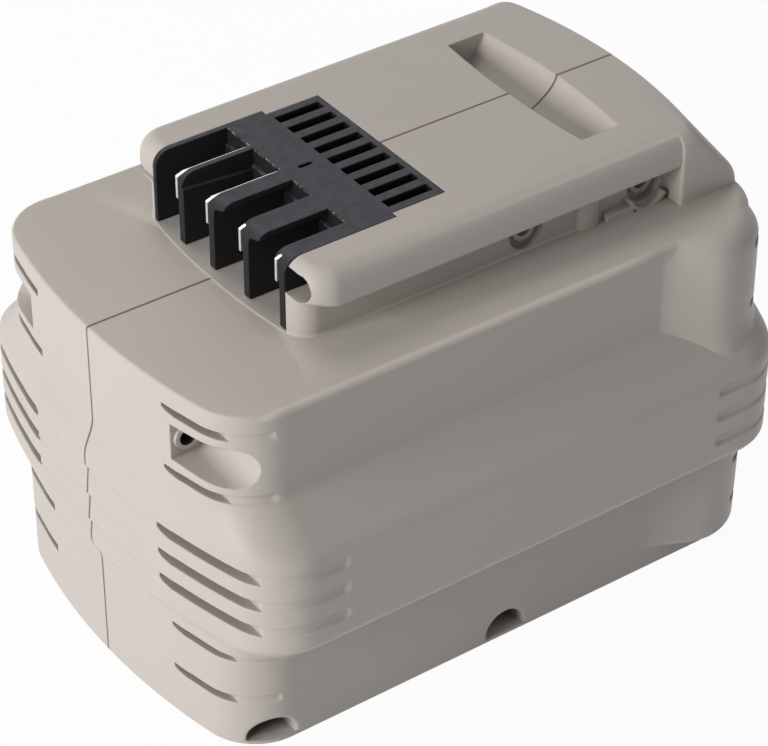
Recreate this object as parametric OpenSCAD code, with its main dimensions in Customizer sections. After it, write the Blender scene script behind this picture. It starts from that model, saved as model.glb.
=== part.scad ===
// Slide-in battery pack for a power tool.
// Millimetres, +Z up. The origin is on the ground under the middle of the pack.
// X runs across the pack, and -Y is the end that slides into the tool.
// Two case halves meet at X = 0 and hold the cells in three layers.
// Each half of the slide rail is moulded in one with its case half. It is a node of its own here,
// so that the collision pieces round the rail's grooves and latch pocket stay simple.

/* [Cells] */
// Diameter of one sleeved cell
cell_d = 22.5; // [20:0.1:24]
// Length of one cell over its raised cap
cell_l = 43; // [38:0.5:46]
// Air between neighbouring cells
cell_gap = 0.1; // [0.1:0.05:0.6]
// Diameter of a cell's raised cap
cap_d = 10; // [7:0.5:12]
// Height of a cell's raised cap
cap_h = 1.2; // [0.8:0.1:2]
// Thickness of the paper washer round the cap
washer_t = 0.5; // [0.2:0.1:0.7]

/* [Links and boards] */
// Thickness of the nickel links
link_t = 0.3; // [0.2:0.05:0.5]
// Width of the nickel links
link_w = 7; // [4:0.5:9]
// Thickness of the middle insulating board
mid_board_t = 1; // [0.6:0.1:2]
// Thickness of the end insulating boards
end_board_t = 0.8; // [0.5:0.1:1.5]
// Air between stacked inner pieces
stack_gap = 0.1; // [0.05:0.05:0.3]

/* [Case body] */
// Wall thickness of the case halves
wall = 2.4; // [1.8:0.1:3]
// Side room beside the outer cells of the wide middle layer
mid_side_room = 0.4; // [0.3:0.1:2]
// Side room beside the outer cells of the narrow layers
tier_side_room = 2.9; // [1:0.1:5]
// Room at each end of the cell block for screw posts and leads
end_room = 14.7; // [13:0.1:20]
// Room for foam under the cells
bottom_room = 4; // [4:0.1:6]
// Room above the cells for foam and leads
top_room = 2.8; // [2.6:0.1:5]
// Height of the upright wall of the wide middle layer
mid_wall_h = 19.2; // [14:0.2:24]
// Height of the slopes above and below the middle wall
bevel_h = 8.1; // [5:0.1:9]
// How far the middle layer stands out at the ends
end_step = 2.1; // [1:0.1:4]
// Radius of the bowed ends
end_bow_r = 141; // [100:1:300]
// Radius of the upright corners
corner_r = 11.7; // [9:0.1:14]
// Gap on the seam between the two halves
seam_gap = 0.3; // [0.1:0.05:0.6]

/* [Rear flare] */
// How far the sides of the narrow layers swell near the rear end
flare_out = 4.7; // [2:0.1:6]
// Length of the swollen rear part, with its ramp
flare_l = 29.3; // [24:0.1:36]
// Length of the ramp into the swollen part
flare_ramp = 10.5; // [4:0.5:14]
// Height of the swollen part's underside
flare_base = 5.1; // [3:0.1:10]
// Drop from the body's top to the swollen part's top
flare_drop = 1.8; // [1:0.1:4]

/* [Corner grooves] */
// Distance from the seam to the grooves' inner ends
groove_x = 21.1; // [20:0.1:26]
// How far the grooves' floor lies behind the end's apex
groove_depth = 6; // [4.5:0.1:7]
// Height of the grooves on the narrow layers
groove_h = 1.6; // [1:0.1:1.8]
// Height of the grooves on the middle layer
mid_groove_h = 2.2; // [1:0.1:3]
// Spacing of the grooves on the middle layer
mid_groove_pitch = 5.65; // [4:0.05:6]
// Height of the top middle groove above the middle layer's centre
mid_groove_rise = 6.4; // [5:0.1:7]
// Spacing of the two grooves on the upper layer
upper_groove_pitch = 13.1; // [12.8:0.1:14]
// Spacing of the two grooves on the lower layer
lower_groove_pitch = 9.8; // [6:0.1:10]
// Drop from the body's top to the centre of the first upper groove
upper_groove_drop = 4.5; // [4:0.1:4.8]
// Height of the lowest groove's centre above the ground
lower_groove_z = 10.5; // [9.5:0.1:11]

/* [Slide rail] */
// Height of the rail above the body
rail_h = 14.65; // [13:0.05:18]
// Width of the rail's top plate
rail_w = 59; // [57:0.1:62]
// Depth of the side groove under the top plate
rail_undercut = 4.5; // [4.2:0.05:5.2]
// Thickness of the rail's top plate
lip_t = 6.7; // [6.6:0.1:7.6]
// Radius along the top plate's long edges
rail_edge_r = 3.6; // [1:0.1:5]
// Radius of the top plate's front corners seen from above
nose_r = 6; // [4:0.1:6.5]
// Radius of the neck's front corners seen from above
neck_nose_r = 4.6; // [3:0.1:5]
// Set-back of the rail's front from the body's front
rail_setback = 27; // [22:0.5:32]
// Set-back of the rail's rear edge from the body's rear
rail_rear_setback = 10; // [7:0.5:14]
// Length of the shoulder block that ends the side grooves
shoulder_l = 17.7; // [14:0.1:22]
// Width of the shoulder block at its foot
shoulder_w = 60; // [59:0.1:64]
// Radius of the shoulder's bowed rear edge
shoulder_bow_r = 99; // [80:1:200]
// Height of the upright foot of the shoulder's rear
shoulder_foot_h = 2.2; // [0.5:0.1:4]

/* [Latch pocket] */
// Width of the latch pocket
pocket_w = 40.1; // [24:0.1:41]
// Length of the latch pocket
pocket_l = 11; // [8:0.1:12]
// Depth of the latch pocket at its upright front wall
pocket_depth = 7; // [4:0.1:7.5]
// Width of the slot at the foot of the pocket's front wall
pocket_slot = 1.5; // [0.8:0.1:2.5]
// Distance from the rail's rear edge to the pocket's rear edge
pocket_setback = 13.3; // [12.5:0.1:16]
// Thickness of the tray under the pocket
tray_t = 1.8; // [1.2:0.1:2]

/* [Terminal block] */
// Width of the block's front part
block_w = 41.7; // [40.5:0.1:42.5]
// Width of the block's rear part
block_rear_w = 38.9; // [37:0.1:40]
// Length of the block's front part, fins included
block_front_l = 23.2; // [21:0.1:26]
// Length of the block's rear part
block_rear_l = 11.3; // [10.5:0.1:14]
// Length of the fins
fin_l = 15.2; // [10:0.1:17]
// Thickness of the inner fins
fin_t = 1.7; // [1.4:0.1:2.2]
// Thickness of the first inner fin above its ledge
fin_top_t = 1.1; // [0.8:0.1:1.3]
// Thickness of the block's left edge fin
edge_fin_t = 1; // [0.8:0.1:1.6]
// Thickness of the block's right edge fin
key_fin_t = 1.65; // [1.2:0.05:2]
// Thickness of the hoods that overhang beside some fins
hood_t = 1.2; // [1:0.1:2]
// Radius on the fins' upper front corners
fin_r = 3; // [1:0.1:4]
// Thickness of the block's top plate and rear wall
block_t = 2; // [1.5:0.1:3]
// Number of vent slots in the block's rear part
vents = 9; // [3:1:9]
// Width of one vent slot
vent_w = 2.3; // [1:0.1:2.6]
// Length of one vent slot
vent_l = 9.6; // [5:0.1:9.8]
// Distance from the block's step to the front of the vent slots
vent_setback = 0.55; // [0.5:0.05:1.2]
// Spacing of the vent slots
vent_pitch = 4.15; // [3.2:0.05:4.3]
// Depth of the side channel that takes the block's flange
channel_w = 6.25; // [4:0.05:6.3]
// Height of the side channel that takes the block's flange
channel_h = 5; // [4:0.1:5.2]
// Thickness of the rail's top over that channel
channel_roof = 1.35; // [1:0.05:2]
// Distance from the fins' front to the front of the block's flange
flange_setback = 7; // [3:0.1:12]
// Distance from the flange's rear end to the block's rear
flange_rear_setback = 3; // [1:0.1:8]
// Gap between the block and the rail
block_clear = 0.2; // [0.1:0.05:0.4]
// Height of the low platform under the block's fins
bay_rise = 0.25; // [0.1:0.05:0.6]
// How far that platform reaches in front of the fins
bay_reach = 1.8; // [0.5:0.1:4]

/* [Contacts] */
// Thickness of the contact strips
contact_t = 0.6; // [0.3:0.05:0.9]
// Height of the contact strips
contact_h = 5; // [3:0.1:6]
// Drop from the rail's top to the contacts' upper edge
contact_drop = 0.65; // [0.6:0.05:1.2]
// Length of the slope at the contacts' upper front corner
contact_slope_l = 1.5; // [0.5:0.1:3]
// Drop of that slope
contact_slope_h = 0.55; // [0.2:0.05:1.5]
// Width of the contacts' tails
tail_w = 2.4; // [2:0.1:3]
// Length of the contacts' tails
tail_l = 6; // [5:0.1:6.5]
// Gap round a contact where it passes through the block
contact_clear = 0.1; // [0.05:0.05:0.3]

/* [Screws] */
// Diameter of the screws
screw_d = 3; // [2.5:0.1:3.2]
// Length of the screws under the head
screw_l = 20; // [14:0.5:22]
// Diameter of the screw heads
head_d = 4.6; // [4:0.1:4.8]
// Height of the screw heads
head_h = 2; // [1.2:0.1:3]
// Distance from the seam to the seat of the screw heads
head_seat = 6; // [4:0.5:9]
// Radial gap round the screws
screw_clear = 0.05; // [0.02:0.01:0.1]
// Wall round the screw holes
boss_wall = 1.2; // [1:0.05:1.4]
// Diameter of the bosses in the rail
rail_boss_d = 7.3; // [6.5:0.1:7.6]
// Diameter of the round recess at each rail screw
rail_recess_d = 7.5; // [7:0.1:7.8]
// Depth of that recess
rail_recess_t = 1.6; // [1:0.1:1.8]
// Diameter of the tube inside that recess
rail_tube_d = 4.9; // [4.6:0.1:5.4]
// How far that tube's end lies behind the neck's side
rail_tube_drop = 0.8; // [0.2:0.1:0.9]
// Height of the screw recess in the upper corners
recess_h = 7.8; // [7:0.1:8]
// How far the recess reaches behind the end's apex
recess_depth = 10.1; // [9.8:0.1:12]
// Distance from the seam to the flat end of that recess
recess_x = 23; // [21:0.1:26]
// How far the boss rings stand out of the recess floor
ring_h = 1.2; // [0.5:0.1:2]
// Drop from the body's top to the axis of the upper screws
upper_screw_drop = 11; // [10.8:0.1:11.3]
// Distance from the end's apex to the axis of the upper screws
upper_screw_inset = 5; // [4.8:0.1:6]
// Distance from the end's apex to the axis of the lower screws
lower_screw_inset = 11.2; // [10:0.1:11.4]
// Height of the axis of the lower screws
lower_screw_z = 3.3; // [3.2:0.05:3.4]
// Width of the arched openings of the lower screws
arch_w = 8; // [7:0.1:9]
// Height of the arch centre above the ground
arch_z = 2; // [1.5:0.1:2.2]
// Floor left under the arched openings
arch_floor = 0.8; // [0.5:0.1:1.2]
// Depth of the arched openings from the side wall
arch_depth = 8.2; // [5:0.1:8.5]
// Height of the rail screws above the body's top
rail_screw_rise = 4.2; // [3.9:0.1:4.6]
// Distance of the front rail screw behind the pack's middle
rail_screw_front = 13.1; // [8:0.1:18]
// Distance from the groove's end wall to the rear rail screw
rail_screw_rear = 4.9; // [4.6:0.1:6]

/* [Leads and sensors] */
// Diameter of the power leads
lead_d = 2; // [1.2:0.1:2.2]
// Diameter of the thermistor leads
sense_lead_d = 1.2; // [0.8:0.1:1.4]
// Length of the thermal cut-out
cutout_l = 12; // [8:0.5:14]
// Width of the thermal cut-out
cutout_w = 5; // [3:0.1:7]
// Thickness of the thermal cut-out
cutout_t = 2; // [1.5:0.1:2.2]
// Diameter of the thermistor bead
bead_d = 2.2; // [1.5:0.1:2.4]
// Distance of the thermistor bead behind the front of the cells
bead_inset = 14; // [8:0.5:16]

/* [Hidden] */
$fn = 48;

// Colours of the pieces
case_colour = [0.72, 0.69, 0.66];
block_colour = [0.13, 0.13, 0.14];
nickel_colour = [0.78, 0.78, 0.76];
steel_colour = [0.55, 0.56, 0.58];
sleeve_colour = [0.20, 0.42, 0.36];
paper_colour = [0.86, 0.83, 0.74];
board_colour = [0.36, 0.40, 0.36];
foam_colour = [0.25, 0.25, 0.26];
red_colour = [0.70, 0.10, 0.08];
black_colour = [0.08, 0.08, 0.08];
blue_colour = [0.12, 0.25, 0.60];

// How far a cut runs past the face that it opens
over = 1;

// Cell layout: three layers, and a chain of columns that winds through them
pitch = cell_d + cell_gap;
layer_step = pitch * sqrt(3) / 2;
low_z = wall + bottom_room + cell_d / 2;
mid_z = low_z + layer_step;
high_z = mid_z + layer_step;
cells_top = high_z + cell_d / 2;
roof_z = cells_top + top_room;
body_h = roof_z + wall;
columns = concat(
    [for (i = [-1 : 1]) [i * pitch, high_z]],
    [for (i = [3 : -2 : -3]) [i * pitch / 2, mid_z]],
    [for (i = [-1 : 1]) [i * pitch, low_z]]
);
column_count = len(columns);
last_column = column_count - 1;
bank_gap = mid_board_t + 2 * (link_t + stack_gap);
bank_end = bank_gap / 2 + cell_l;
board_y = bank_end + link_t + stack_gap;
block_end = board_y + end_board_t;

// Body outline
tier_half = 1.5 * pitch - cell_gap / 2 + tier_side_room + wall;
mid_half = 2 * pitch - cell_gap / 2 + mid_side_room + wall;
tier_end = block_end + end_room + wall;
mid_end = tier_end + end_step;
mid_low = mid_z - mid_wall_h / 2;
mid_high = mid_z + mid_wall_h / 2;
flare_half = tier_half + flare_out;
flare_y = tier_end - flare_l;
flare_top = body_h - flare_drop;
seam = seam_gap / 2;
bow_steps = 10;
corner_steps = 8;

// Where two outlines of the body run together, one lies this much inside the other
blend_inset = 0.3;

// Posts stand in the corners behind the grooves and recesses
post_wall = 1.6;
post_x = groove_x - post_wall;
post_y = tier_end - groove_depth - post_wall;
upper_groove_z = body_h - upper_groove_drop;
narrow_groove_zs = [
    upper_groove_z, upper_groove_z - upper_groove_pitch,
    lower_groove_z, lower_groove_z + lower_groove_pitch,
];
mid_groove_zs = [for (i = [0 : 2]) mid_z + mid_groove_rise - i * mid_groove_pitch];

// Slide rail
rail_top = body_h + rail_h;
rail_half = rail_w / 2;
neck_half = rail_half - rail_undercut;
lip_z = rail_top - lip_t;
rail_front = rail_setback - tier_end;
rail_back = tier_end - rail_rear_setback;
stop_y = tier_end - shoulder_l;
shoulder_half = shoulder_w / 2;
shoulder_inset = 0.8;
shoulder_top_drop = 1.4;
rail_inner = neck_half - wall;
embed = 0.5;

// Rib, bar and bent strap on the neck's side, in front of and under the rear screw
neck_rib_l = 5;
neck_rib_lead = 3.6;
neck_rib_r = 1.35;
neck_bar_t = 1.75;
neck_bar_h = 1.6;
neck_bar_l = 9.3;
strap_t = 0.75;
strap_gap = 0.35;
strap_from = 200;
strap_to = 329;

// Latch pocket
pocket_half = pocket_w / 2;
pocket_back = rail_back - pocket_setback;
pocket_front = pocket_back - pocket_l;
pocket_z = rail_top - pocket_depth;

// Terminal block. The fins stand at keyed places across it
block_half = block_w / 2;
block_rear_half = block_rear_w / 2;
block_front = rail_front;
block_step = block_front + block_front_l;
block_back = block_step + block_rear_l;
fin_back = block_front + fin_l;
block_low = body_h + bay_rise + stack_gap;
plate_low = rail_top - block_t;
fin_lefts = [-12.5, -2.75, 8.1, block_half - key_fin_t];
fin_widths = [fin_t, fin_t, fin_t, key_fin_t];
hood_lefts = [0, 0, 1.2, 1.95];
hood_rights = [0, 2, 2.2, 0];
channel_half = block_half + channel_w;
channel_z = rail_top - channel_roof - channel_h / 2;
flange_front = block_front + flange_setback;
flange_back = block_back - flange_rear_setback;
bay_front = block_front - bay_reach;
roof_front = fin_back + block_t + wall / 4;
test_hole = [0.9, 3];
test_hole_at = [fin_lefts[1] + 0.65, fin_back + block_t + 0.95];

// Contacts stand beside the left faces of the inner fins and the right edge fin.
// Where a fin has a hood on that side, its contact lies in a groove under the hood
contact_offs = [0.65, 0.65, 1.1, 1.1];
contact_xs = [for (i = [0 : len(fin_lefts) - 1]) fin_lefts[i] - contact_offs[i]];
contact_top = rail_top - contact_drop;
contact_z = contact_top - contact_h;
contact_front = block_front + contact_clear;
contact_back = fin_back + block_t + 2 * contact_clear + 2 * tail_w;
tail_z = contact_z - tail_l;
tail_y = contact_back - tail_w / 2;

// Screws: each entry is [y, z] of an axis along X
bore_r = screw_d / 2 + screw_clear;
boss_r = bore_r + boss_wall;
head_r = head_d / 2 + screw_clear;
head_boss_r = head_r + boss_wall;
rail_boss_r = rail_boss_d / 2;
upper_screw_y = tier_end - upper_screw_inset;
upper_screw_z = body_h - upper_screw_drop;
lower_screw_y = tier_end - lower_screw_inset;
arch_r = arch_w / 2;
arch_x = tier_half - arch_depth;
housing_wall = 1.2;
recess_r = recess_h / 2;
recess_y = tier_end - recess_depth + recess_r;
upper_screws = [for (s = [-1, 1]) [s * upper_screw_y, upper_screw_z]];
lower_screws = [for (s = [-1 : 1]) [s * lower_screw_y, lower_screw_z]];
rail_screw_z = body_h + rail_screw_rise;
rail_screws = [[rail_screw_front, rail_screw_z], [stop_y - rail_screw_rear, rail_screw_z]];
rail_recess_r = rail_recess_d / 2;
rail_tube_r = rail_tube_d / 2;
strap_r = rail_recess_r + strap_gap;

// Ribs inside the ends of each half hold the cell block lengthwise
rib_t = 1.6;
rib_xs = [8, 29];
rib_y = block_end + stack_gap;

// Boards and pads stay this far inside the cells' outline
board_inset = 3;
pad_inset = 2.5;
lead_hole_r = lead_d / 2 + 0.4;

// Thermal cut-out and thermistor lie in the valleys between the upper cells
valley_x = pitch / 2;
cutout_z = high_z + sqrt(pow(cell_d / 2, 2) - pow(valley_x - cutout_w / 2, 2)) + stack_gap;
cutout_front = -bank_end + stack_gap;
cutout_back = cutout_front + cutout_l;
bead_r = bead_d / 2;
bead_y = -bank_end + bead_inset;
bead_z = high_z + sqrt(pow(cell_d / 2 + bead_r + stack_gap, 2) - pow(valley_x, 2));

// Leads run from their seats, under the roof, to the foot of a contact's tail.
// Each step between is a share of the way across, a distance in front of the tail and a height from the roof
lead_sides = 8;
lead_y = -block_end - lead_d / 2 - 0.5;
lead_top = roof_z - lead_d / 2 - 0.4;
lead_foot = roof_z + 1.7;
function lead_steps(from_x, to_x, steps) =
    [for (s = steps) [from_x + (to_x - from_x) * s[0], tail_y - s[1], roof_z + s[2]]];
function lead_end(i) = [[contact_xs[i], tail_y, lead_foot], [contact_xs[i], tail_y, tail_z]];
positive_seat = [-valley_x, cutout_back, cutout_z + cutout_t / 2];
positive_route = concat(
    [positive_seat, positive_seat + [0, lead_d, 0]],
    lead_steps(-valley_x, contact_xs[0], [[0.2, 8.8, -4.3], [0.6, 3.8, -1.9]]),
    lead_end(0)
);
negative_route = concat(
    [[pitch, -bank_end - link_t, low_z], [pitch, lead_y + 0.8 * lead_d, low_z + 0.3 * lead_d]],
    [[pitch, lead_y, low_z + 1.5 * lead_d], [pitch, lead_y, mid_z]],
    [[pitch, lead_y, lead_top - 1.5 * lead_d], [pitch, lead_y + 0.4 * lead_d, lead_top - 0.4 * lead_d]],
    [[pitch, lead_y + 1.5 * lead_d, lead_top]],
    lead_steps(pitch, contact_xs[3], [[0.2, 11.8, lead_top - roof_z], [0.6, 3.8, lead_top - roof_z]]),
    lead_end(3)
);
bead_tail = [0.65 * sense_lead_d, bead_r + stack_gap, 0.3];
sense_a_route = concat(
    [[valley_x - bead_tail[0], bead_y + bead_tail[1], bead_z + bead_tail[2]]],
    lead_steps(valley_x, contact_xs[1], [[0.1, 10.8, -5.6], [0.24, 5.8, -2.2], [0.58, 2.3, -0.6], [0.9, 1, 1.2]]),
    [[contact_xs[1], tail_y, lead_foot + 2 * sense_lead_d], [contact_xs[1], tail_y, tail_z]]
);
sense_b_route = concat(
    [[valley_x + bead_tail[0], bead_y + bead_tail[1], bead_z + bead_tail[2]]],
    lead_steps(valley_x, contact_xs[2], [[-0.1, 10.8, -6.2], [0.06, 5.8, -3], [0.55, 2.3, -0.8], [0.9, 0, 1.7]]),
    [[contact_xs[2], tail_y, lead_foot + 2 * sense_lead_d], [contact_xs[2], tail_y, tail_z]]
);

cell_names = [for (i = [1 : 2 * column_count]) str("cell_", i < 10 ? "0" : "", i)];

// Points on a bow that bulges towards +Y, from one x to another
function bow(r, apex, x_from, x_to, n) =
    [for (i = [0 : n]) let (x = x_from + (x_to - x_from) * i / n) [x, apex - r + sqrt(r * r - x * x)]];

// Points on an arc of a corner, angles counted from +X
function arc(centre, r, a_from, a_to, n) =
    [for (i = [0 : n]) let (a = a_from + (a_to - a_from) * i / n) centre + r * [cos(a), sin(a)]];

// Rear half of the body's outline on the +X side, from the seam round the corner to the flank
function rear_outline(half, end, r) =
    let (
        cx = half - r,
        cy = end - end_bow_r + sqrt(pow(end_bow_r - r, 2) - cx * cx),
        lean = asin(cx / (end_bow_r - r)),
        bow_x = end_bow_r * sin(lean)
    )
    concat(bow(end_bow_r, end, seam, bow_x, bow_steps), arc([cx, cy], r, 90 - lean, 0, corner_steps));

// The whole outline on the +X side: the rear half and its mirror image
function half_outline(half, end, r) =
    let (rear = rear_outline(half, end, r))
    concat(rear, [for (i = [len(rear) - 1 : -1 : 0]) [rear[i][0], -rear[i][1]]]);

// The same outline with true arcs: bowed ends, round corners and the straight flank between them
module half_shape(half, end, r) {
    cx = half - r;
    cy = end - end_bow_r + sqrt(pow(end_bow_r - r, 2) - cx * cx);
    bow_x = end_bow_r * cx / (end_bow_r - r);
    translate([seam, -cy])
        square([half - seam, 2 * cy]);
    for (s = [0, 1])
        mirror([0, s]) {
            translate([cx, cy])
                circle(r);
            intersection() {
                translate([0, end - end_bow_r])
                    circle(end_bow_r);
                translate([seam, 0])
                    square([bow_x - seam, end + over]);
            }
        }
}

// Tube along a route: rings of points round each route point
function unit(v) = v / norm(v);
function heading(route, i) = unit(route[min(i + 1, len(route) - 1)] - route[max(i - 1, 0)]);
function tube_ring(route, i, r) =
    let (
        t = heading(route, i),
        side = unit(cross(t, abs(t[0]) > 0.9 ? [0, 0, 1] : [1, 0, 0])),
        rise = cross(t, side)
    )
    [for (k = [0 : lead_sides - 1]) let (a = 360 * k / lead_sides) route[i] + r * (cos(a) * side + sin(a) * rise)];

module tube(route, d) {
    n = lead_sides;
    last = (len(route) - 1) * n;
    points = [for (i = [0 : len(route) - 1]) each tube_ring(route, i, d / 2)];
    walls = [
        for (i = [0 : len(route) - 2])
        for (k = [0 : n - 1])
        let (a = i * n + k, b = i * n + (k + 1) % n)
        each [[a, a + n, b], [b, a + n, b + n]]
    ];
    caps = [
        for (k = [1 : n - 2])
        each [[0, k, k + 1], [last, last + k + 1, last + k]]
    ];
    polyhedron(points, concat(walls, caps));
}

// Extrusions along the other two axes: a profile of [x, z] along Y, and of [y, z] along X
module along_y(from, to) {
    translate([0, to, 0])
        rotate([90, 0, 0])
            linear_extrude(to - from)
                children();
}

module along_x(from, to) {
    translate([from, 0, 0])
        rotate([90, 0, 90])
            linear_extrude(to - from)
                children();
}

module rod_x(place, r, from, to) {
    translate([from, place[0], place[1]])
        rotate([0, 90, 0])
            cylinder(h = to - from, r = r);
}

module rod_y(place, r, from, to) {
    translate([place[0], from, place[1]])
        rotate([-90, 0, 0])
            cylinder(h = to - from, r = r);
}

// Outside of one half, built on the +X side
module body_outside() {
    linear_extrude(body_h)
        half_shape(tier_half, tier_end, corner_r);
    hull() {
        translate([0, 0, mid_low - bevel_h])
            linear_extrude(mid_wall_h + 2 * bevel_h)
                polygon(half_outline(tier_half - blend_inset, tier_end - blend_inset, corner_r));
        translate([0, 0, mid_low])
            linear_extrude(mid_wall_h)
                polygon(half_outline(mid_half, mid_end, corner_r));
    }
    translate([0, 0, flare_base])
        linear_extrude(flare_top - flare_base)
            intersection() {
                half_shape(flare_half, tier_end - blend_inset, corner_r);
                polygon([
                    [seam, flare_y], [tier_half - blend_inset, flare_y],
                    [flare_half, flare_y + flare_ramp], [mid_half, flare_y + flare_ramp],
                    [mid_half, tier_end], [seam, tier_end],
                ]);
            }
}

module rail_outside() {
    plate_nose = [rail_half - nose_r, rail_front + nose_r];
    neck_nose = [neck_half - neck_nose_r, rail_front + neck_nose_r];
    translate([0, 0, body_h])
        linear_extrude(lip_z - body_h + embed)
            polygon(concat(
                [[seam, stop_y + embed], [seam, rail_front]],
                arc(neck_nose, neck_nose_r, -90, 0, corner_steps),
                [[neck_half, stop_y + embed]]
            ));
    intersection() {
        translate([0, 0, lip_z])
            linear_extrude(lip_t)
                polygon(concat(
                    [[seam, rail_front]],
                    arc(plate_nose, nose_r, -90, 0, corner_steps),
                    bow(shoulder_bow_r, rail_back, rail_half, seam, bow_steps)
                ));
        along_y(rail_front - over, rail_back + over)
            union() {
                translate([0, lip_z - over])
                    square([rail_half, lip_t + over - rail_edge_r]);
                translate([0, lip_z])
                    square([rail_half - rail_edge_r, lip_t]);
                translate([rail_half - rail_edge_r, rail_top - rail_edge_r])
                    circle(rail_edge_r);
            }
    }
    hull() {
        translate([0, 0, body_h])
            linear_extrude(shoulder_foot_h)
                polygon(concat(
                    [[seam, stop_y], [shoulder_half, stop_y]],
                    bow(end_bow_r, tier_end - shoulder_inset, shoulder_half, seam, bow_steps)
                ));
        translate([0, 0, rail_top - rail_edge_r])
            linear_extrude(rail_edge_r - shoulder_top_drop)
                polygon(concat(
                    [[seam, stop_y], [rail_half - embed, stop_y]],
                    bow(shoulder_bow_r, rail_back - embed, rail_half - embed, seam, bow_steps)
                ));
    }
    neck_fittings();
}

// Wedge-shaped rib with a round rear edge, and a bar that ends in a strap bent under the rear screw's recess
module neck_fittings() {
    rib_front = pocket_front - neck_rib_lead;
    rear_screw = rail_screws[1];
    translate([0, 0, body_h])
        linear_extrude(lip_z - body_h + embed)
            polygon(concat(
                [[neck_half - embed, rib_front], [neck_half, rib_front]],
                arc([neck_half, rib_front + neck_rib_l - neck_rib_r], neck_rib_r, -40, 90, corner_steps),
                [[neck_half - embed, rib_front + neck_rib_l]]
            ));
    translate([neck_half - embed, rear_screw[0] - neck_bar_l, body_h])
        cube([neck_bar_t + embed, neck_bar_l - rail_recess_r + strap_gap, neck_bar_h]);
    along_x(neck_half - embed, neck_half + neck_bar_t)
        intersection() {
            polygon(concat(
                arc(rear_screw, strap_r + strap_t, strap_from, strap_to, corner_steps),
                arc(rear_screw, strap_r, strap_to, strap_from, corner_steps)
            ));
            translate([stop_y - shoulder_l, body_h])
                square([shoulder_l, rail_h]);
        }
}

// Hollow inside of one half, before posts, bosses and ribs are left standing
module hollow_outline(half) {
    difference() {
        half_shape(half - wall, tier_end - wall, corner_r - wall);
        for (s = [-1, 1])
            translate([post_x, s > 0 ? post_y : -post_y - tier_end])
                square([mid_half, tier_end]);
    }
}

module hollow() {
    translate([0, 0, wall])
        linear_extrude(roof_z - wall)
            hollow_outline(tier_half);
    intersection() {
        translate([0, 0, wall])
            linear_extrude(roof_z - wall)
                hollow_outline(mid_half);
        along_y(-tier_end, tier_end)
            polygon([
                [0, mid_low - bevel_h], [tier_half - wall, mid_low - bevel_h + wall],
                [mid_half - wall, mid_low + wall / 2], [mid_half - wall, mid_high - wall / 2],
                [tier_half - wall, mid_high + bevel_h - wall], [0, mid_high + bevel_h],
            ]);
    }
    translate([seam, roof_front, roof_z - over])
        cube([rail_inner - seam, stop_y - wall - roof_front, wall + 2 * over]);
}

// What stays standing in the hollow
module standing(head_side) {
    head_wall_r = head_side ? head_boss_r : boss_r;
    for (place = upper_screws)
        rod_x(place, head_wall_r, 0, recess_x);
    for (place = lower_screws)
        rod_x(place, boss_r, 0, arch_x);
    for (s = [-1, 1])
        recess_shape(s, recess_r + housing_wall, recess_x - housing_wall);
    for (place = lower_screws)
        rod_x([place[0], arch_z], arch_r + housing_wall, arch_x - housing_wall, mid_half);
    for (x = rib_xs)
        for (s = [-1, 1])
            translate([x - rib_t / 2, s > 0 ? rib_y : -rib_y - end_room - wall, 0])
                cube([rib_t, end_room + wall, body_h]);
}

// Hollow inside the rail, with the screw bosses and the tray under the latch pocket left standing
module rail_hollow() {
    difference() {
        translate([seam, roof_front, body_h - over])
            cube([rail_inner - seam, stop_y - wall - roof_front, rail_top - wall - body_h + over]);
        for (place = rail_screws)
            rod_x(place, rail_boss_r, 0, neck_half);
        along_x(0, pocket_half + tray_t)
            polygon([
                [pocket_front - tray_t, rail_top], [pocket_front - tray_t, pocket_z - tray_t],
                [pocket_front + pocket_slot + tray_t, pocket_z - tray_t],
                [pocket_back + tray_t, rail_top - tray_t], [pocket_back + tray_t, rail_top],
            ]);
    }
}

// Screw recess in an upper corner: a slot from the end face with a round back
module recess_shape(end_side, r, from) {
    rod_x([end_side * recess_y, upper_screw_z], r, from, mid_half);
    translate([from, end_side > 0 ? recess_y : -tier_end - over, upper_screw_z - r])
        cube([mid_half - from, tier_end + over - recess_y, 2 * r]);
}

module cuts(head_side) {
    groove_y = tier_end - groove_depth;
    for (s = [-1, 1]) {
        y = s > 0 ? groove_y : -groove_y - groove_depth - end_step - over;
        for (z = narrow_groove_zs)
            translate([groove_x, y, z - groove_h / 2])
                cube([mid_half, groove_depth + end_step + over, groove_h]);
        for (z = mid_groove_zs)
            translate([groove_x, y, z - mid_groove_h / 2])
                cube([mid_half, groove_depth + end_step + over, mid_groove_h]);
        difference() {
            recess_shape(s, recess_r, recess_x);
            if (!head_side)
                rod_x([s * upper_screw_y, upper_screw_z], boss_r, 0, recess_x + ring_h);
        }
    }
    for (place = lower_screws)
        difference() {
            rod_x([place[0], arch_z], arch_r, arch_x, mid_half);
            translate([0, place[0] - arch_w, arch_floor - arch_w])
                cube([mid_half + over, 2 * arch_w, arch_w]);
        }
    screw_holes(head_side, concat(upper_screws, lower_screws));
}

module rail_cuts(head_side) {
    for (place = rail_screws)
        difference() {
            rod_x(place, rail_recess_r, neck_half - rail_recess_t, neck_half + strap_gap);
            if (!head_side)
                rod_x(place, rail_tube_r, 0, neck_half - rail_tube_drop);
        }
    screw_holes(head_side, rail_screws);
    terminal_bay();
    along_x(0, pocket_half)
        polygon([
            [pocket_front, rail_top + over], [pocket_front, pocket_z - tray_t - over],
            [pocket_front + pocket_slot, pocket_z - tray_t - over], [pocket_front + pocket_slot, pocket_z],
            [pocket_back, rail_top], [pocket_back, rail_top + over],
        ]);
}

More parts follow.
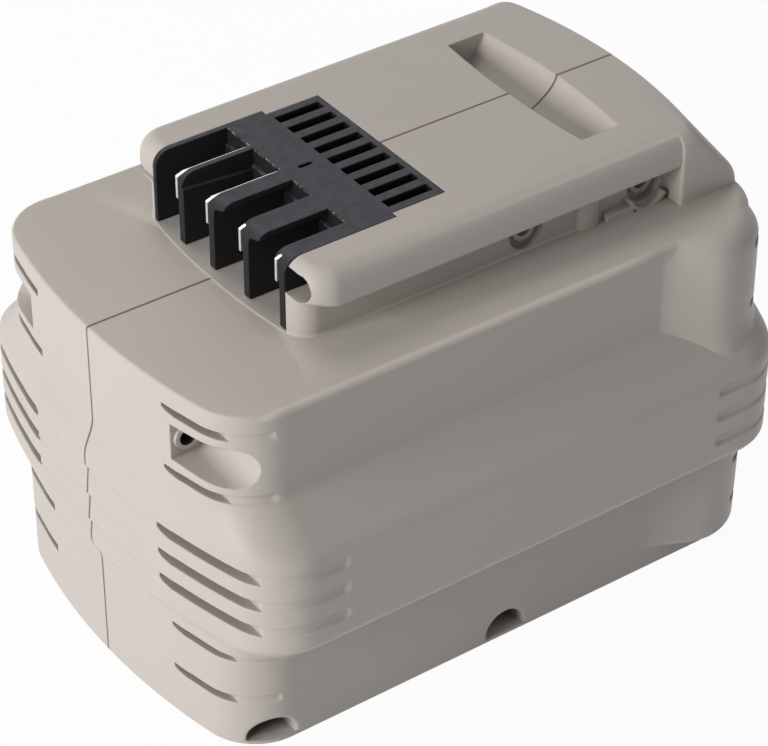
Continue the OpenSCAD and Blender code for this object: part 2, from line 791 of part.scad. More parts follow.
// Straight holes for the screws, and on the head side a wider hole down to the head's seat
module screw_holes(head_side, places) {
    for (place = places) {
        rod_x(place, bore_r, 0, mid_half);
        if (head_side)
            rod_x(place, head_r, head_seat, mid_half);
    }
}

// Outline of the terminal block's bay from above, with a bowed front edge
module bay_outline(from_x) {
    intersection() {
        union() {
            square_to(from_x, block_half + block_clear, bay_front - over, block_step + block_clear);
            square_to(from_x, block_rear_half + block_clear, block_step - over, block_back + block_clear);
        }
        translate([0, bay_front + end_bow_r])
            circle(end_bow_r);
    }
}

// Low platform on the body's top, on which the block's fins stand
module bay_platform() {
    translate([0, 0, body_h - embed])
        linear_extrude(embed + bay_rise)
            bay_outline(seam);
}

// Bay that takes the terminal block, and the side channel for its flange, open at the front
module terminal_bay() {
    channel_r = channel_h / 2;
    channel_front = rail_front - over;
    translate([0, 0, body_h - over])
        linear_extrude(rail_h + 2 * over)
            bay_outline(0);
    rod_y([channel_half - channel_r, channel_z], channel_r, channel_front, flange_back + block_clear);
    translate([block_half - over, channel_front, channel_z - channel_r])
        cube([channel_w + over - channel_r, flange_back + block_clear - channel_front, channel_h]);
}

module square_to(from_x, to_x, from_y, to_y) {
    translate([from_x, from_y])
        square([to_x - from_x, to_y - from_y]);
}

module case_half(head_side) {
    difference() {
        union() {
            body_outside();
            bay_platform();
        }
        difference() {
            hollow();
            standing(head_side);
        }
        cuts(head_side);
    }
}

module rail_half(head_side) {
    difference() {
        rail_outside();
        rail_hollow();
        rail_cuts(head_side);
    }
}

module left_case_half() {
    color(case_colour)
        mirror([1, 0, 0])
            case_half(true);
}

module right_case_half() {
    color(case_colour)
        case_half(false);
}

module left_rail_half() {
    color(case_colour)
        mirror([1, 0, 0])
            rail_half(true);
}

module right_rail_half() {
    color(case_colour)
        rail_half(false);
}

// Side view of a fin: a rectangle with a round upper front corner
module fin_side() {
    back = fin_back + block_t;
    translate([block_front, block_low])
        square([back - block_front, rail_top - block_low - fin_r]);
    translate([block_front + fin_r, block_low])
        square([back - block_front - fin_r, rail_top - block_low]);
    translate([block_front + fin_r, rail_top - fin_r])
        circle(fin_r);
}

// Side view of a hood: the top of a fin
module hood_side() {
    intersection() {
        fin_side();
        translate([block_front, rail_top - hood_t])
            square([fin_l + block_t, hood_t]);
    }
}

module terminal_block() {
    channel_r = channel_h / 2;
    color(block_colour)
        difference() {
            union() {
                translate([-block_half, fin_back, block_low])
                    cube([block_w, block_t, rail_top - block_low]);
                translate([-block_half, fin_back, plate_low])
                    cube([block_w, block_step - fin_back, block_t]);
                translate([-block_rear_half, fin_back, plate_low])
                    cube([block_rear_w, block_back - fin_back, block_t]);
                along_x(-block_half, -block_half + edge_fin_t)
                    fin_side();
                for (i = [0 : len(fin_lefts) - 1]) {
                    along_x(fin_lefts[i], fin_lefts[i] + fin_widths[i])
                        fin_side();
                    if (hood_lefts[i] + hood_rights[i] > 0)
                        along_x(fin_lefts[i] - hood_lefts[i], fin_lefts[i] + fin_widths[i] + hood_rights[i])
                            hood_side();
                }
                for (s = [-1, 1])
                    block_flange(s, channel_r - block_clear);
            }
            translate([fin_lefts[0] + fin_top_t, block_front - over, rail_top - fin_r])
                cube([fin_t, fin_l + over, fin_r + over]);
            for (x = contact_xs)
                translate([x - contact_t / 2 - contact_clear, block_front - over, contact_z - contact_clear])
                    cube([
                        contact_t + 2 * contact_clear,
                        contact_back + contact_clear - block_front + over,
                        contact_h + 2 * contact_clear,
                    ]);
            for (i = [0 : vents - 1])
                translate([
                    (i - (vents - 1) / 2) * vent_pitch - vent_w / 2,
                    block_step + vent_setback, plate_low - over,
                ])
                    cube([vent_w, vent_l, block_t + 2 * over]);
            translate([test_hole_at[0], test_hole_at[1], plate_low - over])
                cube([test_hole[0], test_hole[1], block_t + 2 * over]);
        }
}

// Flange on one side of the block, with a round outer edge that slides in the rail's channel
module block_flange(side, r) {
    x = channel_half - channel_h / 2;
    rod_y([side * x, channel_z], r, flange_front, flange_back);
    translate([side > 0 ? block_half - embed : -x, flange_front, channel_z - r])
        cube([x - block_half + embed, flange_back - flange_front, 2 * r]);
}

module contact(i) {
    color(nickel_colour)
        along_x(contact_xs[i] - contact_t / 2, contact_xs[i] + contact_t / 2)
            polygon([
                [contact_front, contact_z], [contact_front, contact_top - contact_slope_h],
                [contact_front + contact_slope_l, contact_top], [contact_back, contact_top],
                [contact_back, tail_z], [contact_back - tail_w, tail_z], [contact_back - tail_w, contact_z],
            ]);
}

// One cell of a column: the can, a rolled groove near its cap end, and the cap
module cell(i) {
    column = i % column_count;
    place = columns[column];
    front = i < column_count ? -bank_end : bank_gap / 2;
    cap_first = column % 2 == 0;
    r = cell_d / 2;
    can_l = cell_l - cap_h;
    groove_at = 2.5;
    color(sleeve_colour)
        translate([0, cap_first ? front : front + cell_l, 0])
            mirror([0, cap_first ? 0 : 1, 0])
                union() {
                    rod_y(place, cap_d / 2, 0, cap_h + over);
                    rod_y(place, r - stack_gap, cap_h, cap_h + groove_at);
                    rod_y(place, r - 5 * stack_gap, cap_h + groove_at - over, cap_h + groove_at + over);
                    rod_y(place, r, cap_h + groove_at + over, cap_h + can_l);
                }
}

module cell_washers() {
    color(paper_colour)
        for (i = [0 : 2 * column_count - 1]) {
            column = i % column_count;
            front = i < column_count ? -bank_end : bank_gap / 2;
            face = column % 2 == 0 ? front + cap_h - washer_t : front + cell_l - cap_h;
            difference() {
                rod_y(columns[column], cell_d / 2 - over, face, face + washer_t);
                rod_y(columns[column], cap_d / 2 + stack_gap, face - over, face + washer_t + over);
            }
        }
}

// Flat strip in an end plane between two places
module strip(from, to, reach, y) {
    step = to - from;
    translate([(from[0] + to[0]) / 2, y + link_t / 2, (from[1] + to[1]) / 2])
        rotate([0, -atan2(step[1], step[0]), 0])
            cube([norm(step) + 2 * reach, link_t, link_w], center = true);
}

module front_links() {
    y = -bank_end - link_t;
    color(nickel_colour) {
        for (i = [1 : 2 : last_column - 2])
            strip(columns[i], columns[i + 1], link_w / 2, y);
        strip(columns[0], [-valley_x, cutout_z + cutout_t / 2], link_w / 2 - over, y);
        strip(columns[last_column] - [link_w / 4, 0], columns[last_column] + [link_w / 4, 0], link_w / 2, y);
    }
}

module rear_links() {
    color(nickel_colour)
        for (i = [0 : 2 : last_column - 1])
            strip(columns[i], columns[i + 1], link_w / 2, bank_end);
}

// Each middle link is folded through a window in the middle board
module middle_links() {
    inner = mid_board_t / 2 + stack_gap;
    color(nickel_colour)
        for (place = columns) {
            for (y = [-inner - link_t, inner])
                strip(place - [link_w / 4, 0], place + [link_w / 4, 0], link_w / 4, y);
            translate([place[0] - link_w / 4, -inner - link_t / 2, place[1] - link_w / 8])
                cube([link_w / 2, 2 * inner + link_t, link_w / 4]);
        }
}

// Outline shared by the boards: one block for each layer
module board_outline() {
    narrow = 1.5 * pitch - board_inset;
    wide = 2 * pitch - board_inset;
    lowest = low_z - cell_d / 2 + board_inset;
    translate([-narrow, lowest])
        square([2 * narrow, cells_top - board_inset - lowest]);
    translate([-wide, mid_z - mid_wall_h / 2])
        square([2 * wide, mid_wall_h]);
}

module front_board() {
    color(board_colour)
        difference() {
            along_y(-board_y - end_board_t, -board_y)
                board_outline();
            rod_y(columns[last_column], lead_hole_r, -board_y - end_board_t - over, -board_y + over);
        }
}

module middle_board() {
    color(board_colour)
        difference() {
            along_y(-mid_board_t / 2, mid_board_t / 2)
                board_outline();
            for (place = columns)
                translate([
                    place[0] - link_w / 4 - stack_gap, -mid_board_t, place[1] - link_w / 8 - stack_gap,
                ])
                    cube([link_w / 2 + 2 * stack_gap, 2 * mid_board_t, link_w / 4 + 2 * stack_gap]);
        }
}

module rear_board() {
    color(board_colour)
        along_y(board_y, board_y + end_board_t)
            board_outline();
}

// Foam above the cells lies behind the leads, and foam below leaves room for the middle screw boss
module top_pad() {
    half = 1.5 * pitch - pad_inset;
    front = block_step;
    color(foam_colour)
        translate([-half, front, cells_top + stack_gap])
            cube([2 * half, bank_end - pad_inset - front, top_room - 2 * stack_gap]);
}

module bottom_pad() {
    half = 1.5 * pitch - pad_inset;
    inner = boss_r + over;
    color(foam_colour)
        for (y = [-bank_end + pad_inset, inner])
            translate([-half, y, wall])
                cube([2 * half, bank_end - pad_inset - inner, bottom_room - stack_gap]);
}

module thermal_cutout() {
    color(steel_colour)
        translate([-valley_x - cutout_w / 2, cutout_front, cutout_z])
            cube([cutout_w, cutout_l, cutout_t]);
}

module thermistor() {
    color(black_colour)
        translate([valley_x, bead_y, bead_z])
            sphere(bead_r);
}

module positive_lead() {
    color(red_colour)
        tube(positive_route, lead_d);
}

module negative_lead() {
    color(black_colour)
        tube(negative_route, lead_d);
}

module thermistor_lead_a() {
    color(blue_colour)
        tube(sense_a_route, sense_lead_d);
}

module thermistor_lead_b() {
    color(paper_colour)
        tube(sense_b_route, sense_lead_d);
}

// Screws come from the -X side: a round head with a cross-shaped drive, and a plain shank
module case_screws() {
    drive_l = 0.6 * head_d;
    drive_w = 0.2 * head_d;
    color(steel_colour)
        for (place = concat(upper_screws, lower_screws, rail_screws))
            difference() {
                union() {
                    rod_x(place, head_d / 2, -head_seat - head_h, -head_seat);
                    rod_x(place, screw_d / 2, -head_seat - head_h / 2, screw_l - head_seat);
                }
                for (size = [[drive_l, drive_w], [drive_w, drive_l]])
                    translate([-head_seat - head_h - over, place[0] - size[0] / 2, place[1] - size[1] / 2])
                        cube([over + head_h / 2, size[0], size[1]]);
            }
}

left_case_half();
right_case_half();
left_rail_half();
right_rail_half();
terminal_block();
contact(0);  // positive_contact
contact(1);  // sense_contact_a
contact(2);  // sense_contact_b
contact(3);  // negative_contact
for (i = [0 : 2 * column_count - 1]) cell(i);
cell_washers();
front_links();
middle_links();
rear_links();
front_board();
middle_board();
rear_board();
top_pad();
bottom_pad();
thermal_cutout();
thermistor();
positive_lead();
negative_lead();
thermistor_lead_a();
thermistor_lead_b();
case_screws();
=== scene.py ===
"""Looks of a slide-in battery pack for a power tool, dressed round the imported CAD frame.

Shape functions work in millimetres, in the frame of the CAD model: +Z up, -Y towards the tool, X across the seam.
A solid is a pair (points, faces), and only put_in_scene() turns one into a mesh, in metres.
"""
import math

import bpy
import numpy as np
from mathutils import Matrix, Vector


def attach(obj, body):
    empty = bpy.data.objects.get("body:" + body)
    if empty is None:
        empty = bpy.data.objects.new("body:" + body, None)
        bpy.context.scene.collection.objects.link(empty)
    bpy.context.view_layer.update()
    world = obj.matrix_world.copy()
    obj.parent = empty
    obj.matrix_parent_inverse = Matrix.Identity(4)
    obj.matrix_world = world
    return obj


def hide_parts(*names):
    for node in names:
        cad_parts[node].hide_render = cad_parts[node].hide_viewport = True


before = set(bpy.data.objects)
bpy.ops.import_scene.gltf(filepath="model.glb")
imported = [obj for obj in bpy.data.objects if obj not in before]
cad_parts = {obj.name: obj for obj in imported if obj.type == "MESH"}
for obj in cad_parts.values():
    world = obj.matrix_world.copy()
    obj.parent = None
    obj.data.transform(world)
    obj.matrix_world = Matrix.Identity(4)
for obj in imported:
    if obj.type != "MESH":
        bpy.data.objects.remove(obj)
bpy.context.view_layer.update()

# One millimetre, in metres
MM = 0.001

# Sizes of the case, as in the part's source, apart from a finer seam, a lower flare and larger, lower arches
SEAM = 0.05
WALL = 2.4
TIER_HALF, MID_HALF = 39.15, 47.95
TIER_END, MID_END, LOW_REAR_END = 62.2, 64.3, 61.2
BODY_H, RAIL_TOP, ROOF_Z = 73.244, 87.894, 70.844
MID_LOW, MID_HIGH, BEVEL_H = 27.622, 46.822, 8.1
END_BOW_R, CORNER_R = 141.0, 11.7
FLARE_HALF, FLARE_Y, FLARE_RAMP, FLARE_BASE = 43.85, 32.9, 10.5, 3.9
RAIL_HALF, NECK_HALF, LIP_Z = 29.5, 25.0, 81.2
RAIL_FRONT, RAIL_BACK, STOP_Y = -35.2, 52.2, 44.5
NOSE_R, NECK_NOSE_R, RAIL_EDGE_R = 6.0, 4.6, 3.6
SHOULDER_HALF, SHOULDER_BOW_R = 29.95, 99.0
BLOCK_HALF, BLOCK_REAR_HALF = 20.85, 19.45
BLOCK_STEP, BLOCK_BACK, FIN_BACK = -12.0, -0.7, -20.0
BAY_FLOOR = BODY_H + 0.25
CHANNEL_HALF, CHANNEL_H = 27.1, 5.0
CHANNEL_Z = RAIL_TOP - 1.35 - CHANNEL_H / 2
POCKET_HALF, POCKET_FRONT, POCKET_BACK, POCKET_Z = 20.05, 27.9, 38.9, RAIL_TOP - 7
GROOVE_X, HEAD_GROOVE_X, GROOVE_Y, GROOVE_WALL = 21.1, 19.2, 56.2, 1.6
RECESS_X, RECESS_BACK, RECESS_Z = 23.0, 52.1, 62.244
UPPER_SCREW_Y, LOWER_SCREW_Y, LOWER_SCREW_Z = 57.2, 51.0, 3.3
RAIL_SCREW_YS, RAIL_SCREW_Z = (13.1, 39.6), BODY_H + 4.2
ARCH_R, ARCH_Z, ARCH_X, ARCH_FLOOR, ARCH_RIM = 4.2, 1.25, 30.95, 0.8, 0.75
BORE_R, BOSS_R, HEAD_R, HEAD_SEAT = 1.55, 2.75, 2.35, 6.0
HOUSING_T = 1.2
# Height, thickness and flank reach past the corner of each corner groove and of the shallow band that follows it
NARROW_BANDS = [(68.744, 1.6, -2.0), (55.644, 1.6, -2.0), (20.3, 1.6, -2.0), (10.5, 1.6, -2.0)]
WIDE_BANDS = [(43.62, 2.2, 6.4), (37.97, 2.2, 6.4), (32.32, 2.2, 6.4)]
BANDS = NARROW_BANDS + WIDE_BANDS
BAND_DEPTH, BAND_EDGE = 0.26, 0.22
# Heights of the sharp steps of the flutes across the ends
FLUTE_STEPS = (44.2, 37.9, 32.0, 26.4)
FLUTE_DEPTH, FLUTE_EDGE = 0.6, 0.1
# Places past the flank and past the ends, where a cutting solid stops
OUT_X, OUT_Y = MID_HALF + 5, 70.0


# Number tools

def ease(start, end, v):
    """0 before start, 1 after end, and the cubic 3t^2 - 2t^3 between them."""
    t = np.clip((v - start) / (end - start), 0.0, 1.0)
    return t * t * (3 - 2 * t)


def soft_line(v, knots, values, reach):
    """Broken line through the knots. Each inner corner is rounded to a parabola that touches both sides
    at its reach from the knot: the turn in slope over four reaches, times the square of the way left to it."""
    knots, values = np.asarray(knots, float), np.asarray(values, float)
    out = np.interp(v, knots, values)
    turns = np.diff(np.diff(values) / np.diff(knots))
    for at, turn, d in zip(knots[1:-1], turns, np.broadcast_to(reach, turns.shape)):
        out = out + turn / (4 * d) * np.clip(d - np.abs(v - at), 0, None) ** 2
    return out


def arc(cx, cy, r, start, end, n):
    """Points on a circle's arc, as n rows of two numbers, with angles in degrees."""
    a = np.radians(np.linspace(start, end, n))
    return np.stack([cx + r * np.cos(a), cy + r * np.sin(a)], axis=1)


def bow_y(x, end, bow_r=END_BOW_R):
    """Y of a bowed end at x: a circle that reaches end on the middle plane."""
    return end - bow_r + np.sqrt(bow_r ** 2 - x ** 2)


def corner_circle(half, end, r, bow_r=END_BOW_R):
    """Centre of the corner circle that touches the flank and the bowed end from inside, so that it lies bow_r - r
    from the bow's centre. Returns its x and y, and the bow's lean where the two touch, in radians."""
    cx = half - r
    return cx, bow_y(cx, end - r, bow_r - r), np.arcsin(cx / (bow_r - r))


# Solids

def outward(points, faces):
    """The same solid with its faces turned outwards: six times the volume is the sum over fans of triangles of
    a . (b x c), and if it comes out negative, each face is read backwards."""
    tris = np.array([(f[0], f[i], f[i + 1]) for f in faces for i in range(1, len(f) - 1)])
    a, b, c = points[tris[:, 0]], points[tris[:, 1]], points[tris[:, 2]]
    if np.einsum("ij,ij->i", a, np.cross(b, c)).sum() < 0:
        faces = [f[::-1] for f in faces]
    return points, faces


def loft(rings):
    """Closed solid through rings of equally many points: quads between neighbours, a flat cap on each end ring."""
    rings = np.asarray(rings, float)
    n, m = rings.shape[:2]
    at = np.arange(n * m).reshape(n, m)
    on = np.roll(at, -1, axis=1)
    quads = np.stack([at[:-1], on[:-1], on[1:], at[1:]], axis=-1).reshape(-1, 4)
    return outward(rings.reshape(-1, 3), quads.tolist() + [at[0, ::-1].tolist(), at[-1].tolist()])


def prism(axis, low, high, outline):
    """Straight solid along an axis: its outline, as pairs of the other two coordinates in X, Y, Z order,
    at the low and at the high end."""
    outline = np.asarray(outline, float)
    k = "xyz".index(axis)
    return loft([np.insert(outline, k, at, axis=1) for at in (low, high)])


def rod(axis, place, r, low, high, n=48):
    """Round bar along an axis through a place given by the other two coordinates."""
    return prism(axis, low, high, arc(place[0], place[1], r, 0, 360 * (1 - 1 / n), n))


def box(low, high):
    """Block between two corners."""
    (x0, y0, z0), (x1, y1, z1) = low, high
    return prism("z", z0, z1, [(x0, y0), (x1, y0), (x1, y1), (x0, y1)])


def together(*solids):
    """Several solids that keep clear of each other, as one."""
    points, faces, count = [], [], 0
    for p, f in solids:
        points.append(p)
        faces += [[i + count for i in face] for face in f]
        count += len(p)
    return np.concatenate(points), faces


def mirrored(solid, axis):
    """Mirror image in the plane through the origin across an axis, with its faces turned outwards again."""
    points, faces = solid
    points = points.copy()
    points[:, "xyz".index(axis)] *= -1
    return points, [f[::-1] for f in faces]


def both_ends(solid):
    """A solid and its mirror image at the other end of the pack."""
    return together(solid, mirrored(solid, "y"))


def put_in_scene(name, solid):
    """Mesh object at the origin, with the solid's points in metres."""
    points, faces = solid
    mesh = bpy.data.meshes.new(name)
    mesh.from_pydata((np.asarray(points) * MM).tolist(), [], [list(f) for f in faces])
    mesh.update()
    thing = bpy.data.objects.new(name, mesh)
    bpy.context.scene.collection.objects.link(thing)
    return thing


def carve(base, *steps):
    """Solid left after a chain of steps on a base, each (UNION or DIFFERENCE, other solid)."""
    work = put_in_scene("work", base)
    tools = []
    for k, (operation, solid) in enumerate(steps):
        tool = put_in_scene(f"tool_{k}", solid)
        step = work.modifiers.new(f"step_{k}", "BOOLEAN")
        step.operation, step.solver, step.object = operation, "MANIFOLD", tool
        tools.append(tool)
    bpy.context.view_layer.update()
    made = bpy.data.meshes.new_from_object(work.evaluated_get(bpy.context.evaluated_depsgraph_get()))
    points = np.empty(len(made.vertices) * 3)
    made.vertices.foreach_get("co", points)
    faces = [list(p.vertices) for p in made.polygons]
    for thing in [work, *tools]:
        mesh = thing.data
        bpy.data.objects.remove(thing)
        bpy.data.meshes.remove(mesh)
    bpy.data.meshes.remove(made)
    return points.reshape(-1, 3) * 1000, faces


# The case halves, worked out on the +X side

def plan_columns(half, front, rear, r):
    """Plan outline of one half, level by level.

    half, front, rear and r are columns of numbers, one for each level. The outline runs from the seam along the
    bowed front end, round the front corner, down the flank, round the rear corner and along the rear end.
    Returns x, y, the inward normal and the way past the nearest corner along the flank."""
    t_bow, t_corner = np.linspace(0, 1, 34)[None], np.linspace(0, 1, 26)[None, 1:]
    t_near = np.linspace(0.4, 10, 25)[None]
    # The middle of the flank counts as far past both corners
    far = 99
    parts = []
    for end, side in ((front, -1), (rear, 1)):
        cx, cy, lean = corner_circle(half, end, r)
        bow_x = END_BOW_R * np.sin(lean)
        x = SEAM + (bow_x - SEAM) * t_bow
        y = bow_y(x, end)
        turn = np.pi / 2 - lean
        way = -r * turn - (bow_x - x)
        nx, ny = -x / END_BOW_R, -np.sqrt(1 - (x / END_BOW_R) ** 2)
        a = turn * (1 - t_corner)
        near_y = cy - t_near
        one = np.ones_like(near_y)
        x = np.concatenate([x, cx + r * np.cos(a), half * one], axis=1)
        y = np.concatenate([y, cy + r * np.sin(a), near_y], axis=1) * side
        way = np.concatenate([way, -r * a, t_near * one], axis=1)
        nx = np.concatenate([nx, -np.cos(a), -one], axis=1)
        ny = np.concatenate([ny, -np.sin(a), 0 * one], axis=1) * side
        parts.append((x, y, nx, ny, way))
    f, b = parts
    t_mid = np.linspace(0, 1, 16)[None, 1:-1]
    mid_y = f[1][:, -1:] + (b[1][:, -1:] - f[1][:, -1:]) * t_mid
    one = np.ones_like(mid_y)
    middle = (half * one, mid_y, -one, 0 * one, far * one)
    return [np.concatenate([p, m, q[:, ::-1]], axis=1) for p, m, q in zip(f, middle, b)]


def side_half(z, shift=0.0):
    """Half width of the case at a height: the narrow layers, the slopes and the wide middle layer, whose corners
    are moved towards its middle by shift."""
    low, high = MID_LOW + shift, MID_HIGH - shift
    return soft_line(z, [0, low - BEVEL_H, low, high, high + BEVEL_H, BODY_H],
                     [TIER_HALF, TIER_HALF, MID_HALF, MID_HALF, TIER_HALF, TIER_HALF], [1.2, 1.0, 1.6, 0.8])


def body_levels(foot_r, top_r):
    """Heights of the body's levels and how far each is moved in: a quarter round at the foot and one at the top,
    and between them even steps with closer ones where the wall turns and at the edges of bands and flutes."""
    slope_ends = (MID_LOW - BEVEL_H, MID_LOW, MID_HIGH, MID_HIGH + BEVEL_H)
    turns = [k + e for k in slope_ends for e in np.linspace(-1.6, 1.6, 13)]
    band_edges = [c + s * h / 2 + e for c, h, _ in BANDS for s in (-1, 1)
                  for e in (-BAND_EDGE, -0.08, 0.08, BAND_EDGE)]
    flute_edges = [step + e for step in FLUTE_STEPS for e in (-FLUTE_EDGE, FLUTE_EDGE)]
    even = np.linspace(foot_r, BODY_H - top_r, 90)
    wall_z = np.unique(np.round(np.concatenate([even, turns, band_edges, flute_edges]), 3))
    wall_z = wall_z[(wall_z >= foot_r) & (wall_z <= BODY_H - top_r)]
    q = np.linspace(0, np.pi / 2, 7)[:-1]
    z = np.concatenate([foot_r * (1 - np.cos(q)), wall_z, BODY_H - top_r * (1 - np.sin(q[1:])), [BODY_H]])
    inset = np.concatenate([foot_r * (1 - np.sin(q)), 0 * wall_z, top_r * (1 - np.cos(q[1:])), [top_r]])
    return z[:, None], inset[:, None]


def body_solid():
    """Main body of one half: plan outlines lofted over height.

    The wall follows side_half() and, at the ends, a smaller bulge. Shallow flutes like saw teeth cross the end face
    of the middle layer: below each sharp step the face lies back by the flute's depth and comes out again towards
    the next step. Shallow bands with round ends follow the corner grooves on to the flank. The top edge is a
    quarter round, small at the front and larger along the flank and at the rear. The bottom edge is a small one."""
    foot_r, top_r, drawn_z = 0.25, 0.6, 58
    level, inset = body_levels(foot_r, top_r)
    bulge_z, bulge_y, bulge_reach = [27, 47.5, 52.5, BODY_H], [MID_END, MID_END, TIER_END, TIER_END], 1.5
    front = soft_line(level, [0, 23.2] + bulge_z, [TIER_END] * 2 + bulge_y, bulge_reach)
    rear = soft_line(level, [0, 22.4] + bulge_z, [LOW_REAR_END] * 2 + bulge_y, bulge_reach)
    x, y, nx, ny, way = plan_columns(side_half(level), front, rear, CORNER_R + 0 * level)
    level = level + 0 * x
    # Where the top edge's radius grows, the heights above drawn_z are drawn down and the insets grow with it
    edge_r = top_r + 0.6 * ease(-54, -44, y) + 0.9 * ease(30, 46, y)
    drawn = drawn_z + (level - drawn_z) * (BODY_H - edge_r - drawn_z) / (BODY_H - top_r - drawn_z)
    cap = BODY_H - (BODY_H - level) * edge_r / top_r
    on_cap = level > BODY_H - top_r + 1e-6
    high = np.where(on_cap, cap, np.where(level > drawn_z, drawn, level))
    back = inset * np.where(on_cap, edge_r / top_r, 1.0)
    # Flutes across the ends, which fade before the corner grooves start, and bands round the corners, which
    # start near the recess and are deepest on the flank
    tooth = np.zeros_like(level)
    for above, below in zip(FLUTE_STEPS[:-1], FLUTE_STEPS[1:]):
        inside = (ease(below - FLUTE_EDGE, below + FLUTE_EDGE, level)
                  * ease(above + FLUTE_EDGE, above - FLUTE_EDGE, level))
        tooth = np.maximum(tooth, inside * FLUTE_DEPTH * (level - below) / (above - below))
    back = back + tooth * ease(20.5, 17.5, x) * (np.abs(y) > 50)
    for centre, h, reach in BANDS:
        past = np.hypot(np.clip(way - (reach - h / 2), 0, None), high - centre) - h / 2
        depth = BAND_DEPTH * (1 + ease(-9, 4, way))
        back = back + depth * ease(BAND_EDGE, -BAND_EDGE, past) * ease(24, 26, x)
    x = np.where(x > SEAM + 1e-6, np.maximum(x + nx * back, SEAM + 1e-4 * np.arange(x.shape[1])), x)
    return loft(np.stack([x, y + ny * back, high], axis=-1))


def flare_solid():
    """Swollen rear part of the narrow layers: the flank ramps out along a soft line, then follows the rear corner
    and the bowed end. The top edge is a large quarter round that ends level with the body's top, the bottom edge
    a smaller one, and each level is the outline moved in by its inset. Above the wide middle layer the outline
    grows again along a soft line, as a hollow fillet that dips under the slope."""
    top_r, foot_r = 4.6, 2.2
    inner_x, start_y, sunk = 4, FLARE_Y - 6, 0.3
    q = np.linspace(0, np.pi / 2, 9)
    hidden_z, fillet_z = 45.6, np.linspace(46.9, 55.6, 15)
    fillet_out = soft_line(fillet_z, [40.3, 50.3, 60], [9.8, 0, 0], 4.6)
    z = np.concatenate([FLARE_BASE + foot_r * (1 - np.cos(q)), [hidden_z], fillet_z,
                        BODY_H - 0.03 - top_r * (1 - np.sin(q))])
    inset = np.concatenate([foot_r * (1 - np.sin(q)), [0], -fillet_out, top_r * (1 - np.cos(q))])
    end = np.where(z < MID_LOW, LOW_REAR_END, TIER_END) - sunk
    rings = []
    for level, d, tip in zip(z, inset, end):
        half, r = FLARE_HALF - d, CORNER_R - d
        tip = tip - (d if d > 0 else 0.4 * d)
        cx, cy, lean = corner_circle(half, tip, r)
        ramp_y = np.linspace(start_y, cy - 0.3, 40)
        ramp_x = soft_line(ramp_y, [0, FLARE_Y + 0.9 * d, FLARE_Y + FLARE_RAMP, 60],
                           [TIER_HALF - 0.5 - 0.2 * d] * 2 + [half] * 2, [3.0, 2.2])
        bow_x = np.linspace(END_BOW_R * np.sin(lean), inner_x, 20)[1:]
        ring = np.concatenate([
            [(inner_x, start_y)], np.stack([ramp_x, ramp_y], axis=1),
            arc(cx, cy, r, 0, 90 - np.degrees(lean), 20), np.stack([bow_x, bow_y(bow_x, tip)], axis=1)])
        rings.append(np.insert(ring, 2, level, axis=1))
    return loft(rings)


def rail_plate():
    """Top plate of the slide rail: a plan outline with a round nose, lofted over height and moved in by a quarter
    round along the top edge and a small one along the lip's lower edge, which swells at the nose's corner."""
    front_r, side_r, swell = 0.15, 0.5, 1.0
    back = STOP_Y + 3
    q = np.linspace(0, np.pi / 2, 11)
    nose = np.linspace(-90, 0, 20)
    turned = ease(-85, -60, nose)
    nose_r = front_r + (side_r - front_r) * turned + swell * ease(0, -40, nose) * turned
    lip_r = np.concatenate([[front_r], nose_r, [side_r, side_r]])
    low_z = [LIP_Z + lip_r * (1 - np.cos(a)) for a in q]
    low_in = [lip_r * (1 - np.sin(a)) for a in q]
    top_z = [RAIL_TOP - RAIL_EDGE_R * (1 - np.sin(a)) + 0 * lip_r for a in q]
    top_in = [RAIL_EDGE_R * (1 - np.cos(a)) + 0 * lip_r for a in q]
    across = np.concatenate([[0], np.cos(np.radians(nose)), [1, 0]])
    along = np.concatenate([[1], -np.sin(np.radians(nose)), [0, 0]])
    outline = np.concatenate([
        [(SEAM, RAIL_FRONT)], arc(RAIL_HALF - NOSE_R, RAIL_FRONT + NOSE_R, NOSE_R, -90, 0, 20),
        [(RAIL_HALF, back), (SEAM, back)]])
    rings = [np.stack([outline[:, 0] - d * across, outline[:, 1] + d * along, z], axis=1)
             for d, z in zip(low_in + top_in, low_z + top_z)]
    return loft(rings)


def rail_neck():
    """Neck under the rail's top plate, with a round nose and a small hollow fillet where it stands on the body."""
    foot_r, back = 0.5, STOP_Y + 2
    q = np.linspace(np.pi / 2, 0, 7)
    z = np.concatenate([[BODY_H - 1.0], BODY_H - 0.02 + foot_r * (1 - np.sin(q)), [LIP_Z + 0.7]])
    out = np.concatenate([[foot_r], foot_r * (1 - np.cos(q)), [0]])
    rings = []
    for level, d in zip(z, out):
        half, front, r = NECK_HALF + d, RAIL_FRONT + 0.02 - d, NECK_NOSE_R + d
        outline = np.concatenate([
            [(SEAM, back), (SEAM, front)], arc(half - r, front + r, r, -90, 0, 14), [(half, back)]])
        rings.append(np.insert(outline, 2, level, axis=1))
    return loft(rings)


